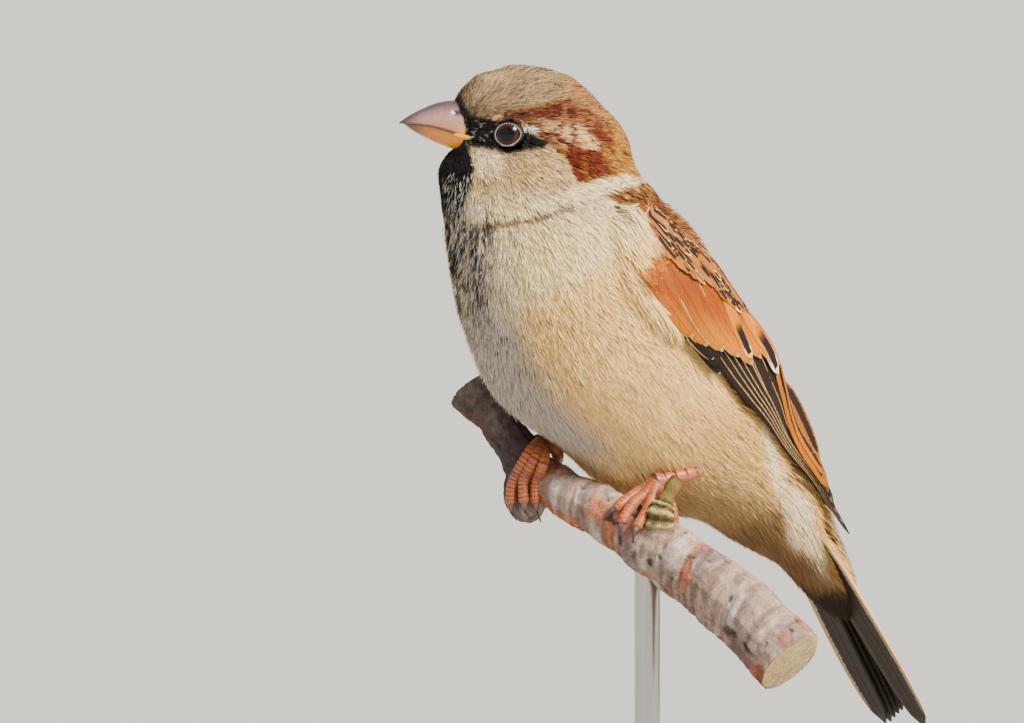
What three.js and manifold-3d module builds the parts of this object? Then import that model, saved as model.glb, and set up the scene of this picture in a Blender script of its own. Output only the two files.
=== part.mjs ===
// House sparrow, adult male in fresh autumn plumage, life size, gripping a cut length of branch
// on a plain display stand. Millimetres, +Z up. The bird's trunk faces -X and its left side is
// towards -Y. The origin is the centre of the base's underside.
import * as THREE from "three";
import { mergeVertices } from "three/addons/utils/BufferGeometryUtils.js";
import Module from "manifold-3d";

const wasm = await Module();
wasm.setup();

// Driving sizes.
const GAP = 0.3; // left between pieces that touch
const WING_LENGTH = 77; // from the bend of the folded wing to its tip
const TAIL_LENGTH = 51.5; // what shows beyond the rump
const TAIL_HALF_WIDTH = 12;
const EYE_RADIUS = 3.3;
const TARSUS_LENGTH = 19.5;
const TARSUS_RADIUS = 1.15;
const TOE_RADIUS = 1.05;
const BRANCH_RADIUS = 6.2;
const BASE_RADIUS = 48;
const BASE_HEIGHT = 10;
const ROD_RADIUS = 2.5;

// The bird is laid out about its own middle plane, and the base's centre lies here below it.
const BASE_X = 8;
const BASE_Y = -8;

const LEFT = 1;
const RIGHT = -1;
const SIDE_NAMES = new Map([
  [LEFT, "left"],
  [RIGHT, "right"],
]);

const deg = THREE.MathUtils.degToRad;
const lerp = THREE.MathUtils.lerp;
const clamp01 = (x) => Math.min(1, Math.max(0, x));
const smoothstep = (x, low, high) => THREE.MathUtils.smoothstep(x, low, high);
const vec = (x, y, z) => new THREE.Vector3(x, y, z);
const count = (n) => Array.from({ length: n }, (_, i) => i);
// A point of the left side, or its mirror image on the right.
const sided = (side, x, y, z) => vec(x, side * y, z);

// ---------------------------------------------------------------- head frame
// The head sits level on the neck and is turned to the bird's right.
const HEAD_AT = vec(-14, 2, 136);
const HEAD_TURN = -22; // degrees about +Z
const headTurn = new THREE.Quaternion().setFromAxisAngle(vec(0, 0, 1), deg(HEAD_TURN));
// A point given as millimetres forward, to the left and up from the middle of the head.
const onHead = (forward, left, up) => vec(-forward, -left, up).applyQuaternion(headTurn).add(HEAD_AT);

// ---------------------------------------------------------------- soft forms
// An ellipsoid's signed distance, measured towards its centre. `size` is its half length, half width
// and half depth. `tilt` points the length downwards behind, `turn` turns it about +Z, in degrees.
function form({ at, size, tilt = 0, turn = 0 }) {
  const unturn = new THREE.Quaternion()
    .setFromEuler(new THREE.Euler(0, deg(tilt), deg(turn), "ZYX"))
    .invert();
  const radii = vec(...size);
  return (p) => {
    const q = p.clone().sub(at).applyQuaternion(unturn);
    const reach = q.length();
    const share = q.divide(radii).length();
    return share > 1e-6 ? reach * (1 - 1 / share) : -Math.min(...size);
  };
}

// The distance to several forms melted together over `blend` millimetres.
function melt(forms, blend) {
  return (p) =>
    forms
      .map((f) => f(p))
      .reduce((a, b) => {
        const near = Math.max(blend - Math.abs(a - b), 0) / blend;
        return Math.min(a, b) - (near * near * blend) / 4;
      });
}

// The plumage's outer shape, from crown to tail coverts.
const plumage = melt(
  [
    form({ at: onHead(4, 0, 7.5), size: [9.7, 7, 10.3], turn: HEAD_TURN }), // face
    form({ at: onHead(-1.5, 0, 4), size: [16, 9.6, 14.7], turn: HEAD_TURN }), // crown
    form({ at: onHead(-4, 0, -5), size: [16, 12.5, 16], turn: HEAD_TURN }), // nape
    form({ at: onHead(3, 3.5, -5), size: [11.5, 8, 8.5], turn: HEAD_TURN }), // left cheek
    form({ at: onHead(3, -3.5, -5), size: [11.5, 8, 8.5], turn: HEAD_TURN }), // right cheek
    form({ at: onHead(10.5, 0, -2.5), size: [6.6, 5.5, 5], turn: HEAD_TURN }), // chin
    form({ at: onHead(5, 0, -10), size: [12, 10, 12], turn: HEAD_TURN }), // throat
    form({ at: vec(-8.7, 0, 118), size: [18, 20, 22], tilt: 60 }), // shoulders
    form({ at: vec(-0.6, 0, 106.3), size: [27, 23, 25.6], tilt: 47 }), // breast
    form({ at: vec(14, 0, 91), size: [27, 21, 21.5], tilt: 47 }), // belly
    form({ at: vec(20, 0, 101), size: [24, 14, 12], tilt: 56 }), // mantle and back
    form({ at: vec(32.5, 0, 75.5), size: [22, 12.5, 12], tilt: 44 }), // rump and vent
    form({ at: vec(46.5, 0, 61.5), size: [20, 7.5, 5.5], tilt: 56 }), // tail coverts
  ],
  5,
);

// Moves a point off the plumage until it lies `lift` outside it, or leaves it where it is further out.
function raise(point, lift) {
  const p = point.clone();
  const step = 0.05;
  for (const _ of count(6)) {
    const d = plumage(p);
    if (d >= lift - 0.01) break;
    const slope = vec(
      plumage(p.clone().add(vec(step, 0, 0))) - d,
      plumage(p.clone().add(vec(0, step, 0))) - d,
      plumage(p.clone().add(vec(0, 0, step))) - d,
    ).normalize();
    p.addScaledVector(slope, lift - d);
  }
  return p;
}

// ---------------------------------------------------------------- rings round a spine
const spine = new THREE.CatmullRomCurve3([
  vec(-14, 2, 138),
  vec(-12, 0.8, 127),
  vec(-8, 0, 117),
  vec(2, 0, 105),
  vec(18, 0, 88),
  vec(33, 0, 76.5),
  vec(44, 0, 65.5),
  vec(57, 0, 46.5),
]);
const SPINE_LENGTH = spine.getLength();

// The ring plane at `s` millimetres down the spine: its middle, and the tailward, left and dorsal ways.
function station(s) {
  const share = clamp01(s / SPINE_LENGTH);
  const middle = spine.getPointAt(share);
  const tailward = spine.getTangentAt(share);
  const dorsal = vec(0.8, 0, 0.6);
  dorsal.addScaledVector(tailward, -dorsal.dot(tailward)).normalize();
  return { middle, tailward, dorsal, left: tailward.clone().cross(dorsal) };
}

// How far the plumage, grown by `offset`, reaches from `from` along `way`.
function reach(from, way, offset) {
  let inside = 0;
  let outside = 60;
  for (const _ of count(26)) {
    const half = (inside + outside) / 2;
    if (plumage(from.clone().addScaledVector(way, half)) < offset) inside = half;
    else outside = half;
  }
  return inside;
}

// One ring of the plumage, whose points lean `lean` radians towards the tail.
function plumageRing(s, sides, lean, offset) {
  const st = station(s);
  return count(sides).map((i) => {
    const angle = (2 * Math.PI * i) / sides;
    const way = st.left
      .clone()
      .multiplyScalar(Math.cos(angle))
      .addScaledVector(st.dorsal, Math.sin(angle))
      .multiplyScalar(Math.cos(lean))
      .addScaledVector(st.tailward, Math.sin(lean));
    return st.middle.clone().addScaledVector(way, reach(st.middle, way, offset));
  });
}

// ---------------------------------------------------------------- closed meshes
function closedMesh(points, faces) {
  const geometry = new THREE.BufferGeometry();
  geometry.setAttribute(
    "position",
    new THREE.Float32BufferAttribute(
      points.flatMap((p) => [p.x, p.y, p.z]),
      3,
    ),
  );
  geometry.setIndex(faces);
  return geometry;
}

// Joins rings of points, each one the next along, and closes both ends with a fan to `first` and `last`.
// A ring runs the way the fingers of the right hand curl when the thumb points back along the rings.
function loft(rings, first, last) {
  const sides = rings[0].length;
  const points = [...rings.flat(), first, last];
  const start = rings.length * sides;
  const end = (rings.length - 1) * sides;
  const faces = [];
  for (const i of count(sides)) {
    const j = (i + 1) % sides;
    faces.push(start, i, j);
    for (let a = 0; a < end; a += sides) {
      const b = a + sides;
      faces.push(a + i, b + i, a + j, a + j, b + i, b + j);
    }
    faces.push(end + j, end + i, start + 1);
  }
  return closedMesh(points, faces);
}

// A round tube along a curve. `radiusAt` takes the share of the length. Its ends are domes that reach
// `dome` radii further.
function tube(curve, radiusAt, steps, sides, dome = 0.5) {
  const frames = curve.computeFrenetFrames(steps, false);
  const rings = count(steps + 1).map((k) => {
    const share = k / steps;
    const middle = curve.getPointAt(share);
    return count(sides).map((i) => {
      const angle = (2 * Math.PI * i) / sides;
      return middle
        .clone()
        .addScaledVector(frames.normals[k], radiusAt(share, angle) * Math.sin(angle))
        .addScaledVector(frames.binormals[k], radiusAt(share, angle) * Math.cos(angle));
    });
  });
  const endPoint = (share, sign) =>
    curve.getPointAt(share).addScaledVector(curve.getTangentAt(share), sign * dome * radiusAt(share, 0));
  return loft(rings, endPoint(0, -1), endPoint(1, 1));
}

// Closes two grids of the same size, one over the other, round their edges.
function shell(over, under) {
  const rows = over.length;
  const columns = over[0].length;
  const below = rows * columns;
  const at = (i, j) => i * columns + j;
  const faces = [];
  for (const i of count(rows - 1))
    for (const j of count(columns - 1)) {
      const [a, b, c, d] = [at(i, j), at(i + 1, j), at(i + 1, j + 1), at(i, j + 1)];
      faces.push(a, b, c, a, c, d);
      faces.push(below + a, below + c, below + b, below + a, below + d, below + c);
    }
  const rim = [
    ...count(rows - 1).map((i) => at(i, 0)),
    ...count(columns - 1).map((j) => at(rows - 1, j)),
    ...count(rows - 1).map((i) => at(rows - 1 - i, columns - 1)),
    ...count(columns - 1).map((j) => at(0, columns - 1 - j)),
  ];
  rim.forEach((a, n) => {
    const b = rim[(n + 1) % rim.length];
    faces.push(a, below + a, b, b, below + a, below + b);
  });
  return closedMesh([...over.flat(), ...under.flat()], faces);
}

// A closed geometry as a solid that can be cut and joined, turned outside out where it is mirrored.
function solidOf(geometry) {
  const bare = geometry.clone();
  bare.deleteAttribute("normal");
  bare.deleteAttribute("uv");
  const merged = mergeVertices(bare, 1e-4);
  const vertProperties = merged.attributes.position.array;
  const made = new wasm.Manifold(
    new wasm.Mesh({ numProp: 3, vertProperties, triVerts: new Uint32Array(merged.index.array) }),
  );
  if (made.volume() > 0) return made;
  const turned = Array.from(merged.index.array).reverse();
  return new wasm.Manifold(
    new wasm.Mesh({ numProp: 3, vertProperties, triVerts: new Uint32Array(turned) }),
  );
}

function geometryOf(solid) {
  const mesh = solid.getMesh();
  const geometry = new THREE.BufferGeometry();
  geometry.setAttribute("position", new THREE.BufferAttribute(mesh.vertProperties, 3));
  geometry.setIndex(new THREE.BufferAttribute(mesh.triVerts, 1));
  return geometry;
}

// What is left of `solid` once every tool is cut away, without crumbs.
function cut(solid, ...tools) {
  const left = tools.reduce((a, b) => a.subtract(b), solid);
  return left.decompose().reduce((a, b) => (a.volume() > b.volume() ? a : b));
}

// ---------------------------------------------------------------- perch
// The branch runs down from behind the bird's right foot to before its left foot.
const branchLine = new THREE.CatmullRomCurve3([
  vec(-16.4, 20.9, 91.2),
  vec(-12.8, 14, 82.9),
  vec(-10.1, 8.9, 76),
  vec(-6.3, 1.7, 71.3),
  vec(-2, -6.5, 67.4),
  vec(2.8, -15.75, 62),
  vec(8.2, -26.1, 55.7),
  vec(13, -35.3, 48.9),
  vec(17.8, -44.6, 40),
]);
const BRANCH_LENGTH = branchLine.getLength();

// Thin at its upper end, with a swollen knot under the right foot and shallow waves down its length.
function branchRadius(share, angle, grown) {
  const taper = lerp(0.66, 1.2, smoothstep(share, 0.02, 1));
  const waves = 0.02 * Math.sin(31 * share + 2 * angle) + 0.025 * Math.sin(57 * share + angle);
  const stub = 0.16 * (1 - smoothstep(share, 0.02, 0.09));
  return BRANCH_RADIUS * (taper + waves + stub) + grown;
}

const SPUR_LINE = [vec(3.4, -18, 62), vec(2.2, -20.3, 66.6), vec(3.3, -20.1, 70), vec(6.4, -19.7, 75)];

function branchSolid(grown) {
  const stem = tube(branchLine, (share, angle) => branchRadius(share, angle, grown), 24, 12, 0.05);
  const knot = new THREE.IcosahedronGeometry(1, 2);
  knot.scale(4.6 + grown, 5 + grown, 6.6 + grown);
  knot.translate(-10.4, 9.4, 71.5);
  // The spur narrows in rings from its foot and ends in a bud.
  const spur = tube(
    new THREE.CatmullRomCurve3(SPUR_LINE),
    (share) => lerp(3.9, 1, smoothstep(share, 0.1, 0.72)) + 0.45 * smoothstep(share, 0.75, 0.88) + grown,
    8,
    8,
  );
  return solidOf(stem).add(solidOf(knot)).add(solidOf(spur));
}

const branch = branchSolid(0);
const branchRoom = branchSolid(GAP);

// A point over the bark: millimetres down the branch, degrees round it from the top towards its
// front, and millimetres off the bark.
function onBark(along, around, lift) {
  const share = clamp01(along / BRANCH_LENGTH);
  const middle = branchLine.getPointAt(share);
  const axis = branchLine.getTangentAt(share);
  const front = vec(axis.y, -axis.x, 0).normalize();
  const top = front.clone().cross(axis);
  const height = branchRadius(share, 0, lift);
  return middle
    .addScaledVector(top, height * Math.cos(deg(around)))
    .addScaledVector(front, height * Math.sin(deg(around)));
}

// ---------------------------------------------------------------- head, neck and trunk
const SIDES = 24;
const COLLAR_AT = 13; // where the head's plumage meets the neck's, down the spine
const NECK_ENDS = 22;

// The plumage from one station to another. An end whose station is null is rounded off.
function bodyPiece(from, to, steps, offset = 0) {
  const start = from ?? 0;
  const end = to ?? SPINE_LENGTH;
  const caps = 5;
  const quarter = Math.PI / 2;
  const crown = count(caps).map((k) => plumageRing(0, SIDES, quarter * (k / caps - 0.95), offset));
  const middle = count(steps + 1).map((k) => plumageRing(lerp(start, end, k / steps), SIDES, 0, offset));
  const vent = [1, 2].map((k) => plumageRing(SPINE_LENGTH, SIDES, (quarter * k) / 3, offset));
  const pole = (s, sign) => {
    const st = station(s);
    const way = st.tailward.clone().multiplyScalar(sign);
    return st.middle.clone().addScaledVector(way, reach(st.middle, way, offset));
  };
  return solidOf(
    loft(
      [...(from === null ? crown : []), ...middle, ...(to === null ? vent : [])],
      from === null ? pole(0, -1) : station(start).middle,
      to === null ? pole(SPINE_LENGTH, 1) : station(end).middle,
    ),
  );
}

const plumageRoom = bodyPiece(null, null, 30, GAP);

// ---------------------------------------------------------------- eyes
const EYE_AT = [4.4, 7, 5.3]; // forward, left and up on the head
function eyeball(side, radius) {
  const ball = new THREE.IcosahedronGeometry(radius, 2);
  const [forward, left, up] = EYE_AT;
  ball.translate(...onHead(forward, side * left, up).toArray());
  return solidOf(ball);
}

// ---------------------------------------------------------------- bill
// Heights up the head along the bill, from its root inside the face to its tip.
const BILL_ROOT = 9;
const BILL_TIP = 25.9;
const along = (points) => {
  const curve = new THREE.SplineCurve(points.map(([x, y]) => new THREE.Vector2(x, y)));
  return (share) => curve.getPoint(share);
};
const culmen = along([[BILL_ROOT, 12.2], [14, 12.6], [18, 12.2], [21, 11.1], [23.8, 9.7], [BILL_TIP, 8.3]]);
const tomium = along([[BILL_ROOT, 6], [12.8, 5.3], [16.2, 6.5], [19.2, 7.4], [22, 7.9], [BILL_TIP, 8.15]]);
const gonys = along([[BILL_ROOT, 3.4], [13.9, 2.9], [17.3, 3.7], [20, 4.9], [23, 6.5], [24.9, 7.9]]);
const billHalfWidth = (share) => 4.4 * Math.sqrt(Math.max(0, 1 - share ** 1.7)) + 0.12;

// One mandible: an arch of half rings from the cutting edge to the ridge line `ridge`, as far along
// the cutting edge as `reachShare`.
function mandible(ridge, edgeGap, fullness, reachShare) {
  const steps = 12;
  const arch = 9;
  const rings = count(steps + 1).map((k) => {
    const share = k / steps;
    const edge = tomium(share * reachShare);
    const top = ridge(share);
    const width = billHalfWidth(share * reachShare) * fullness;
    return count(arch + 1).map((i) => {
      const angle = (Math.PI * i) / arch;
      const rise = Math.sin(angle) ** 0.85;
      const forward = lerp(edge.x, top.x, rise);
      return onHead(forward, width * Math.cos(angle), lerp(edge.y + edgeGap, top.y, rise));
    });
  });
  const middleOf = (ring) => ring.reduce((a, b) => a.clone().add(b)).multiplyScalar(1 / ring.length);
  return solidOf(loft(rings, middleOf(rings[0]), middleOf(rings[steps])));
}
const upperMandible = mandible(culmen, GAP / 2, 1, 1);
const lowerMandible = mandible(gonys, -GAP / 2, 0.93, 0.94);

// ---------------------------------------------------------------- wings
// The folded left wing's lower and upper edges, from the bend of the wing to its tip.
const wingTip = vec(52.4, -9, 62.2);
const lowerEdge = new THREE.CatmullRomCurve3([
  vec(-5.5, -17, 122),
  vec(-4, -22, 114),
  vec(1, -23, 107.5),
  vec(9.5, -22, 100),
  vec(18.5, -20.5, 90.5),
  vec(31.5, -15.5, 81.5),
  vec(43.3, -11.6, 71.8),
  wingTip,
]);
const upperEdge = new THREE.CatmullRomCurve3([
  vec(2, -15, 126),
  vec(14, -12, 119),
  vec(25, -9, 109),
  vec(34, -7.5, 98.5),
  vec(40, -7.5, 89.5),
  vec(43.8, -7.5, 81),
  vec(46.8, -7.8, 72.5),
  wingTip,
]);

// The wing between two shares of its length: a blade `thickness` deep at its edges, which bulges by
// `bulge` between them and lies clear of the body.
const WING_CLEARANCE = 0.65;
const COVERTS_END = 0.49; // share of the wing that the coverts hide
const FLIGHT_STEP = 1; // from the coverts' ends to where the flight feathers show
function wingPiece(side, from, to, thickness, bulge, steps) {
  const columns = 5;
  const grid = (height) =>
    count(steps + 1).map((k) =>
      count(columns + 1).map((j) => {
        const share = lerp(from, to, k / steps);
        const v = j / columns;
        return raise(lowerEdge.getPoint(share).lerp(upperEdge.getPoint(share), v), height(v));
      }),
    );
  const arch = (v) => Math.sin(Math.PI * v) ** 0.7;
  const over = grid((v) => WING_CLEARANCE + thickness + bulge * arch(v));
  const under = over.map((row, i) =>
    row.map((p, j) => {
      const before = over[Math.max(0, i - 1)][j];
      const after = over[Math.min(steps, i + 1)][j];
      const above = row[Math.min(columns, j + 1)];
      const below = row[Math.max(0, j - 1)];
      const inward = after.clone().sub(before).cross(above.clone().sub(below)).normalize();
      const depth = thickness + bulge * arch(j / columns);
      return raise(p.clone().addScaledVector(inward, inward.y > 0 ? depth : -depth), WING_CLEARANCE);
    }),
  );
  const mirror = (rows) => rows.map((row) => row.map((p) => sided(side, p.x, p.y, p.z)));
  return solidOf(shell(mirror(over), mirror(under)));
}

// ---------------------------------------------------------------- tail
const TAIL_ROOT = vec(43.5, 0, 66.5);
const tailward = vec(0.539, 0, -0.842);
const tailUp = vec(0.842, 0, 0.539);
const TAIL_NOTCH = 3.2;

// The closed tail: a shallow roof of feathers that widens to a notched end.
function tailSolid() {
  const columns = 8;
  const steps = 6;
  const surface = (height) =>
    count(steps + 1).map((k) =>
      count(columns + 1).map((j) => {
        const across = (2 * j) / columns - 1;
        const share = k / steps;
        const corner = 4.5 * smoothstep(Math.abs(across), 0.62, 1.12);
        const notch = TAIL_NOTCH * (1 - smoothstep(Math.abs(across), 0, 0.45));
        const length = (TAIL_LENGTH - corner - notch) * share;
        const width = TAIL_HALF_WIDTH * lerp(0.72, 1, smoothstep(length, 0, 0.8 * TAIL_LENGTH));
        const roof = 1.2 - 1.3 * across * across;
        return TAIL_ROOT.clone()
          .addScaledVector(tailward, length)
          .addScaledVector(tailUp, roof + height)
          .add(vec(0, width * across, 0));
      }),
    );
  return cut(solidOf(shell(surface(0.7), surface(-0.7))), plumageRoom);
}

// ---------------------------------------------------------------- legs
// Each foot's joint, the way its leg runs back into the feathers, and for each toe the knuckles after
// the joint, then the back and the tip of its claw.
const FEET = [
  {
    side: LEFT,
    joint: vec(5.2, -14.5, 74.3),
    heelWay: vec(0.985, -0.02, 0.17),
    toes: {
      middle: {
        knuckles: [onBark(43.6, -8, 2.2), onBark(45.6, 28, 1.3), onBark(46.4, 58, 1.3)],
        claw: [onBark(46.9, 76, 1.9), onBark(47.4, 98, 0.6)],
      },
      inner: {
        knuckles: [onBark(41.4, 4, 2), onBark(43, 34, 1.3), onBark(43.8, 58, 1.3)],
        claw: [onBark(43.8, 72, 1.9), onBark(43.4, 90, 0.6)],
      },
      outer: {
        knuckles: [onBark(45.9, -6, 2.8), onBark(48.2, 24, 1.5), onBark(48.9, 52, 1.3)],
        claw: [onBark(49.2, 68, 1.9), onBark(49.5, 88, 0.6)],
      },
      hind: {
        knuckles: [onBark(47.5, -24, 3.8), onBark(50.3, -36, 2.6), onBark(52, -66, 1.3)],
        claw: [onBark(52.4, -86, 1.9), onBark(52.6, -112, 0.6)],
      },
    },
  },
  {
    side: RIGHT,
    joint: vec(-7, 10, 81),
    heelWay: vec(0.985, 0.02, 0.17),
    toes: {
      middle: {
        knuckles: [onBark(22.4, 44, 1.4), vec(-13.9, 4.5, 74.5), vec(-14.2, 4.4, 71)],
        claw: [vec(-13.9, 4.2, 68.4), vec(-11.6, 5.9, 65.8)],
      },
      inner: {
        knuckles: [onBark(24.8, 42, 1.4), vec(-11.6, 3.7, 74), vec(-11.9, 3.7, 71)],
        claw: [vec(-11.7, 3.4, 68.3), vec(-9.4, 5.6, 65.2)],
      },
      outer: {
        knuckles: [onBark(20.2, 46, 1.4), vec(-15.2, 6.2, 74), vec(-15.8, 6.5, 70.6)],
        claw: [vec(-15.6, 6.5, 68), vec(-13.4, 8, 65.6)],
      },
      hind: {
        knuckles: [onBark(21.5, -42, 1.5), onBark(22, -78, 1.3), onBark(22.3, -106, 1.3)],
        claw: [onBark(22.6, -128, 1.8), onBark(23, -152, 0.8)],
      },
    },
  },
];

// The bare leg from the foot's joint back into the belly's feathers.
function legTube({ joint, heelWay }, grown) {
  const line = new THREE.CatmullRomCurve3([
    joint,
    joint.clone().addScaledVector(heelWay, TARSUS_LENGTH / 2),
    joint.clone().addScaledVector(heelWay, TARSUS_LENGTH),
  ]);
  return tube(line, (share) => TARSUS_RADIUS * lerp(1.35, 1, smoothstep(share, 0, 0.16)) + grown, 7, 8);
}

// A toe from the joint over its knuckles, with pads between them.
function toeTube({ joint }, { knuckles }, grown) {
  const pads = (share) => 1 + 0.1 * Math.cos(share * 6 * Math.PI);
  const radiusAt = (share) => TOE_RADIUS * pads(share) * lerp(1.05, 0.8, share) + grown;
  return tube(new THREE.CatmullRomCurve3([joint, ...knuckles]), radiusAt, 9, 6);
}

// The claw goes on from the toe's end and hooks down to its tip.
function clawTube({ knuckles, claw }) {
  const root = knuckles[2].clone().lerp(claw[0], 0.3);
  return tube(new THREE.CatmullRomCurve3([root, ...claw]), (share) => lerp(0.75, 0.2, share), 6, 6);
}

// ---------------------------------------------------------------- stand
function baseDisc() {
  const bevel = 1.5;
  const profile = [
    [0, 0],
    [BASE_RADIUS, 0],
    [BASE_RADIUS, BASE_HEIGHT - 2 * bevel],
    [BASE_RADIUS - 0.6 * bevel, BASE_HEIGHT - 0.6 * bevel],
    [BASE_RADIUS - 2 * bevel, BASE_HEIGHT],
    [0, BASE_HEIGHT],
  ];
  const disc = new THREE.LatheGeometry(profile.map(([r, z]) => new THREE.Vector2(r, z)), 40);
  return disc.rotateX(Math.PI / 2).translate(BASE_X, BASE_Y, 0);
}

// The rod rises from a round foot to the underside of the branch.
function rodSolid() {
  const top = branchLine.getPointAt(0.56);
  const foot = BASE_HEIGHT + GAP;
  const profile = [
    [0, 0],
    [6, 0],
    [6, 1.4],
    [5.2, 2.2],
    [ROD_RADIUS, 2.6],
    [ROD_RADIUS, top.z - foot],
    [0, top.z - foot],
  ];
  const rod = new THREE.LatheGeometry(profile.map(([r, z]) => new THREE.Vector2(r, z)), 16);
  return cut(solidOf(rod.rotateX(Math.PI / 2).translate(top.x, top.y, foot)), branchRoom);
}

// ---------------------------------------------------------------- assembly
const sparrow = new THREE.Group();
sparrow.position.set(-BASE_X, -BASE_Y, 0);
const paint = (r, g, b, roughness = 0.8, metalness = 0) =>
  new THREE.MeshStandardMaterial({ color: new THREE.Color(r, g, b), roughness, metalness });
const materials = {
  crown: paint(0.36, 0.29, 0.22),
  breast: paint(0.62, 0.54, 0.42),
  coverts: paint(0.5, 0.21, 0.07),
  flight: paint(0.12, 0.09, 0.07),
  tail: paint(0.2, 0.17, 0.13),
  eye: paint(0.05, 0.025, 0.015, 0.05),
  upperBill: paint(0.25, 0.19, 0.19, 0.35),
  lowerBill: paint(0.62, 0.42, 0.12, 0.4),
  leg: paint(0.6, 0.27, 0.16, 0.5),
  claw: paint(0.14, 0.1, 0.11, 0.35),
  bark: paint(0.36, 0.27, 0.2, 0.9),
  base: paint(0.16, 0.09, 0.05, 0.4),
  rod: paint(0.6, 0.6, 0.6, 0.35, 1),
};

function add(name, geometry, material) {
  const mesh = new THREE.Mesh(geometry, material);
  mesh.name = name;
  sparrow.add(mesh);
}

add("stand_base", baseDisc(), materials.base);
add("stand_rod", geometryOf(rodSolid()), materials.rod);
add("perch_branch", geometryOf(branch), materials.bark);

const sockets = [LEFT, RIGHT].map((side) => eyeball(side, EYE_RADIUS + GAP));
add("head", geometryOf(cut(bodyPiece(null, COLLAR_AT, 4), ...sockets)), materials.crown);
add("neck", geometryOf(bodyPiece(COLLAR_AT + GAP, NECK_ENDS, 2)), materials.breast);
add("trunk", geometryOf(cut(bodyPiece(NECK_ENDS + GAP, null, 24), branchRoom)), materials.breast);
add("bill_upper", geometryOf(cut(upperMandible, plumageRoom)), materials.upperBill);
add("bill_lower", geometryOf(cut(lowerMandible, plumageRoom)), materials.lowerBill);
add("tail", geometryOf(tailSolid()), materials.tail);

for (const side of [LEFT, RIGHT]) {
  const name = SIDE_NAMES.get(side);
  add("eye_" + name, geometryOf(eyeball(side, EYE_RADIUS)), materials.eye);
  const coverts = wingPiece(side, 0, COVERTS_END, 0.9, 1.7, 7);
  const flight = wingPiece(side, COVERTS_END + FLIGHT_STEP / WING_LENGTH, 1, 0.7, 1, 8);
  add("wing_coverts_" + name, geometryOf(coverts), materials.coverts);
  add("wing_flight_" + name, geometryOf(flight), materials.flight);
}

for (const foot of FEET) {
  const name = SIDE_NAMES.get(foot.side);
  const leg = cut(solidOf(legTube(foot, 0)), plumageRoom, branchRoom);
  const taken = [plumageRoom, branchRoom, solidOf(legTube(foot, GAP))];
  add("leg_" + name, geometryOf(leg), materials.leg);
  for (const [toeName, toe] of Object.entries(foot.toes)) {
    add(`toe_${toeName}_${name}`, geometryOf(cut(solidOf(toeTube(foot, toe, 0)), ...taken)), materials.leg);
    taken.push(solidOf(toeTube(foot, toe, GAP)));
  }
  for (const [toeName, toe] of Object.entries(foot.toes))
    add(`claw_${toeName}_${name}`, geometryOf(cut(solidOf(clawTube(toe)), ...taken)), materials.claw);
}

export default sparrow;
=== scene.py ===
import math

import bpy
import numpy as np
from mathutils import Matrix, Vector
from mathutils.bvhtree import BVHTree


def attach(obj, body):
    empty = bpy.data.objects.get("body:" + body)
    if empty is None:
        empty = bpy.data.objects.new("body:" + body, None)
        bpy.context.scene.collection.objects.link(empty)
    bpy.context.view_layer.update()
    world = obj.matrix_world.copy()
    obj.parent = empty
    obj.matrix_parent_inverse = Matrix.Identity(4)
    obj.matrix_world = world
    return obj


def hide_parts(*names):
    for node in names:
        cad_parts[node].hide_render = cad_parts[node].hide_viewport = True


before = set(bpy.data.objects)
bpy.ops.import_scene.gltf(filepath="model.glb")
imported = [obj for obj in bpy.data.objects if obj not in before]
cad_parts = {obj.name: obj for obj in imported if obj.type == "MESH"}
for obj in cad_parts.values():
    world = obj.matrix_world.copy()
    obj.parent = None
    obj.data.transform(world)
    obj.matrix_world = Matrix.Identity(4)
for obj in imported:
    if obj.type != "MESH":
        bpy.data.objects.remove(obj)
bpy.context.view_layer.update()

# The bird is laid out in millimetres, bill towards -X and left side towards -Y.
# birdAt moves it over the stand, and mm turns it into the scene's metres.
mm = 0.001
birdAt = np.array((-8.0, 8.0, 0.0))
dice = np.random.default_rng(41)
leftSide, rightSide = 1, -1
sideNames = {leftSide: "left", rightSide: "right"}


def rising(x, low, high):
    # smoothly from 0 to 1 between low and high
    t = np.clip((np.asarray(x, float) - low) / (high - low), 0, 1)
    return t * t * (3 - 2 * t)


def falling(x, low, high):
    return 1 - rising(x, low, high)


def blendOf(a, b, share):
    return a + (b - a) * share


def unit(v):
    return v / np.maximum(np.linalg.norm(v, axis=-1, keepdims=True), 1e-9)


def tone(red, green, blue):
    c = np.array((red, green, blue)) / 255
    return np.where(c <= 0.04045, c / 12.92, ((c + 0.055) / 1.055) ** 2.4)


def paint(red, green, blue):
    return (*tone(red, green, blue), 1.0)


def valueNoise(points, seed):
    # smooth noise from -1 to 1 on a lattice of whole numbers
    cell = np.floor(points).astype(np.int64)
    part = points - cell
    part = part * part * (3 - 2 * part)
    total = np.zeros(len(points))
    for dx in (0, 1):
        for dy in (0, 1):
            for dz in (0, 1):
                x, y, z = cell[:, 0] + dx, cell[:, 1] + dy, cell[:, 2] + dz
                mixed = (x * 73856093) ^ (y * 19349663) ^ (z * 83492791) ^ (seed * 2654435761)
                mixed = (mixed ^ (mixed >> 13)) * 1274126177 & 0x7FFFFFFF
                value = (mixed % 65536) / 32768 - 1
                weight = (np.where(dx, part[:, 0], 1 - part[:, 0]) * np.where(dy, part[:, 1], 1 - part[:, 1])
                          * np.where(dz, part[:, 2], 1 - part[:, 2]))
                total += value * weight
    return total


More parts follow.
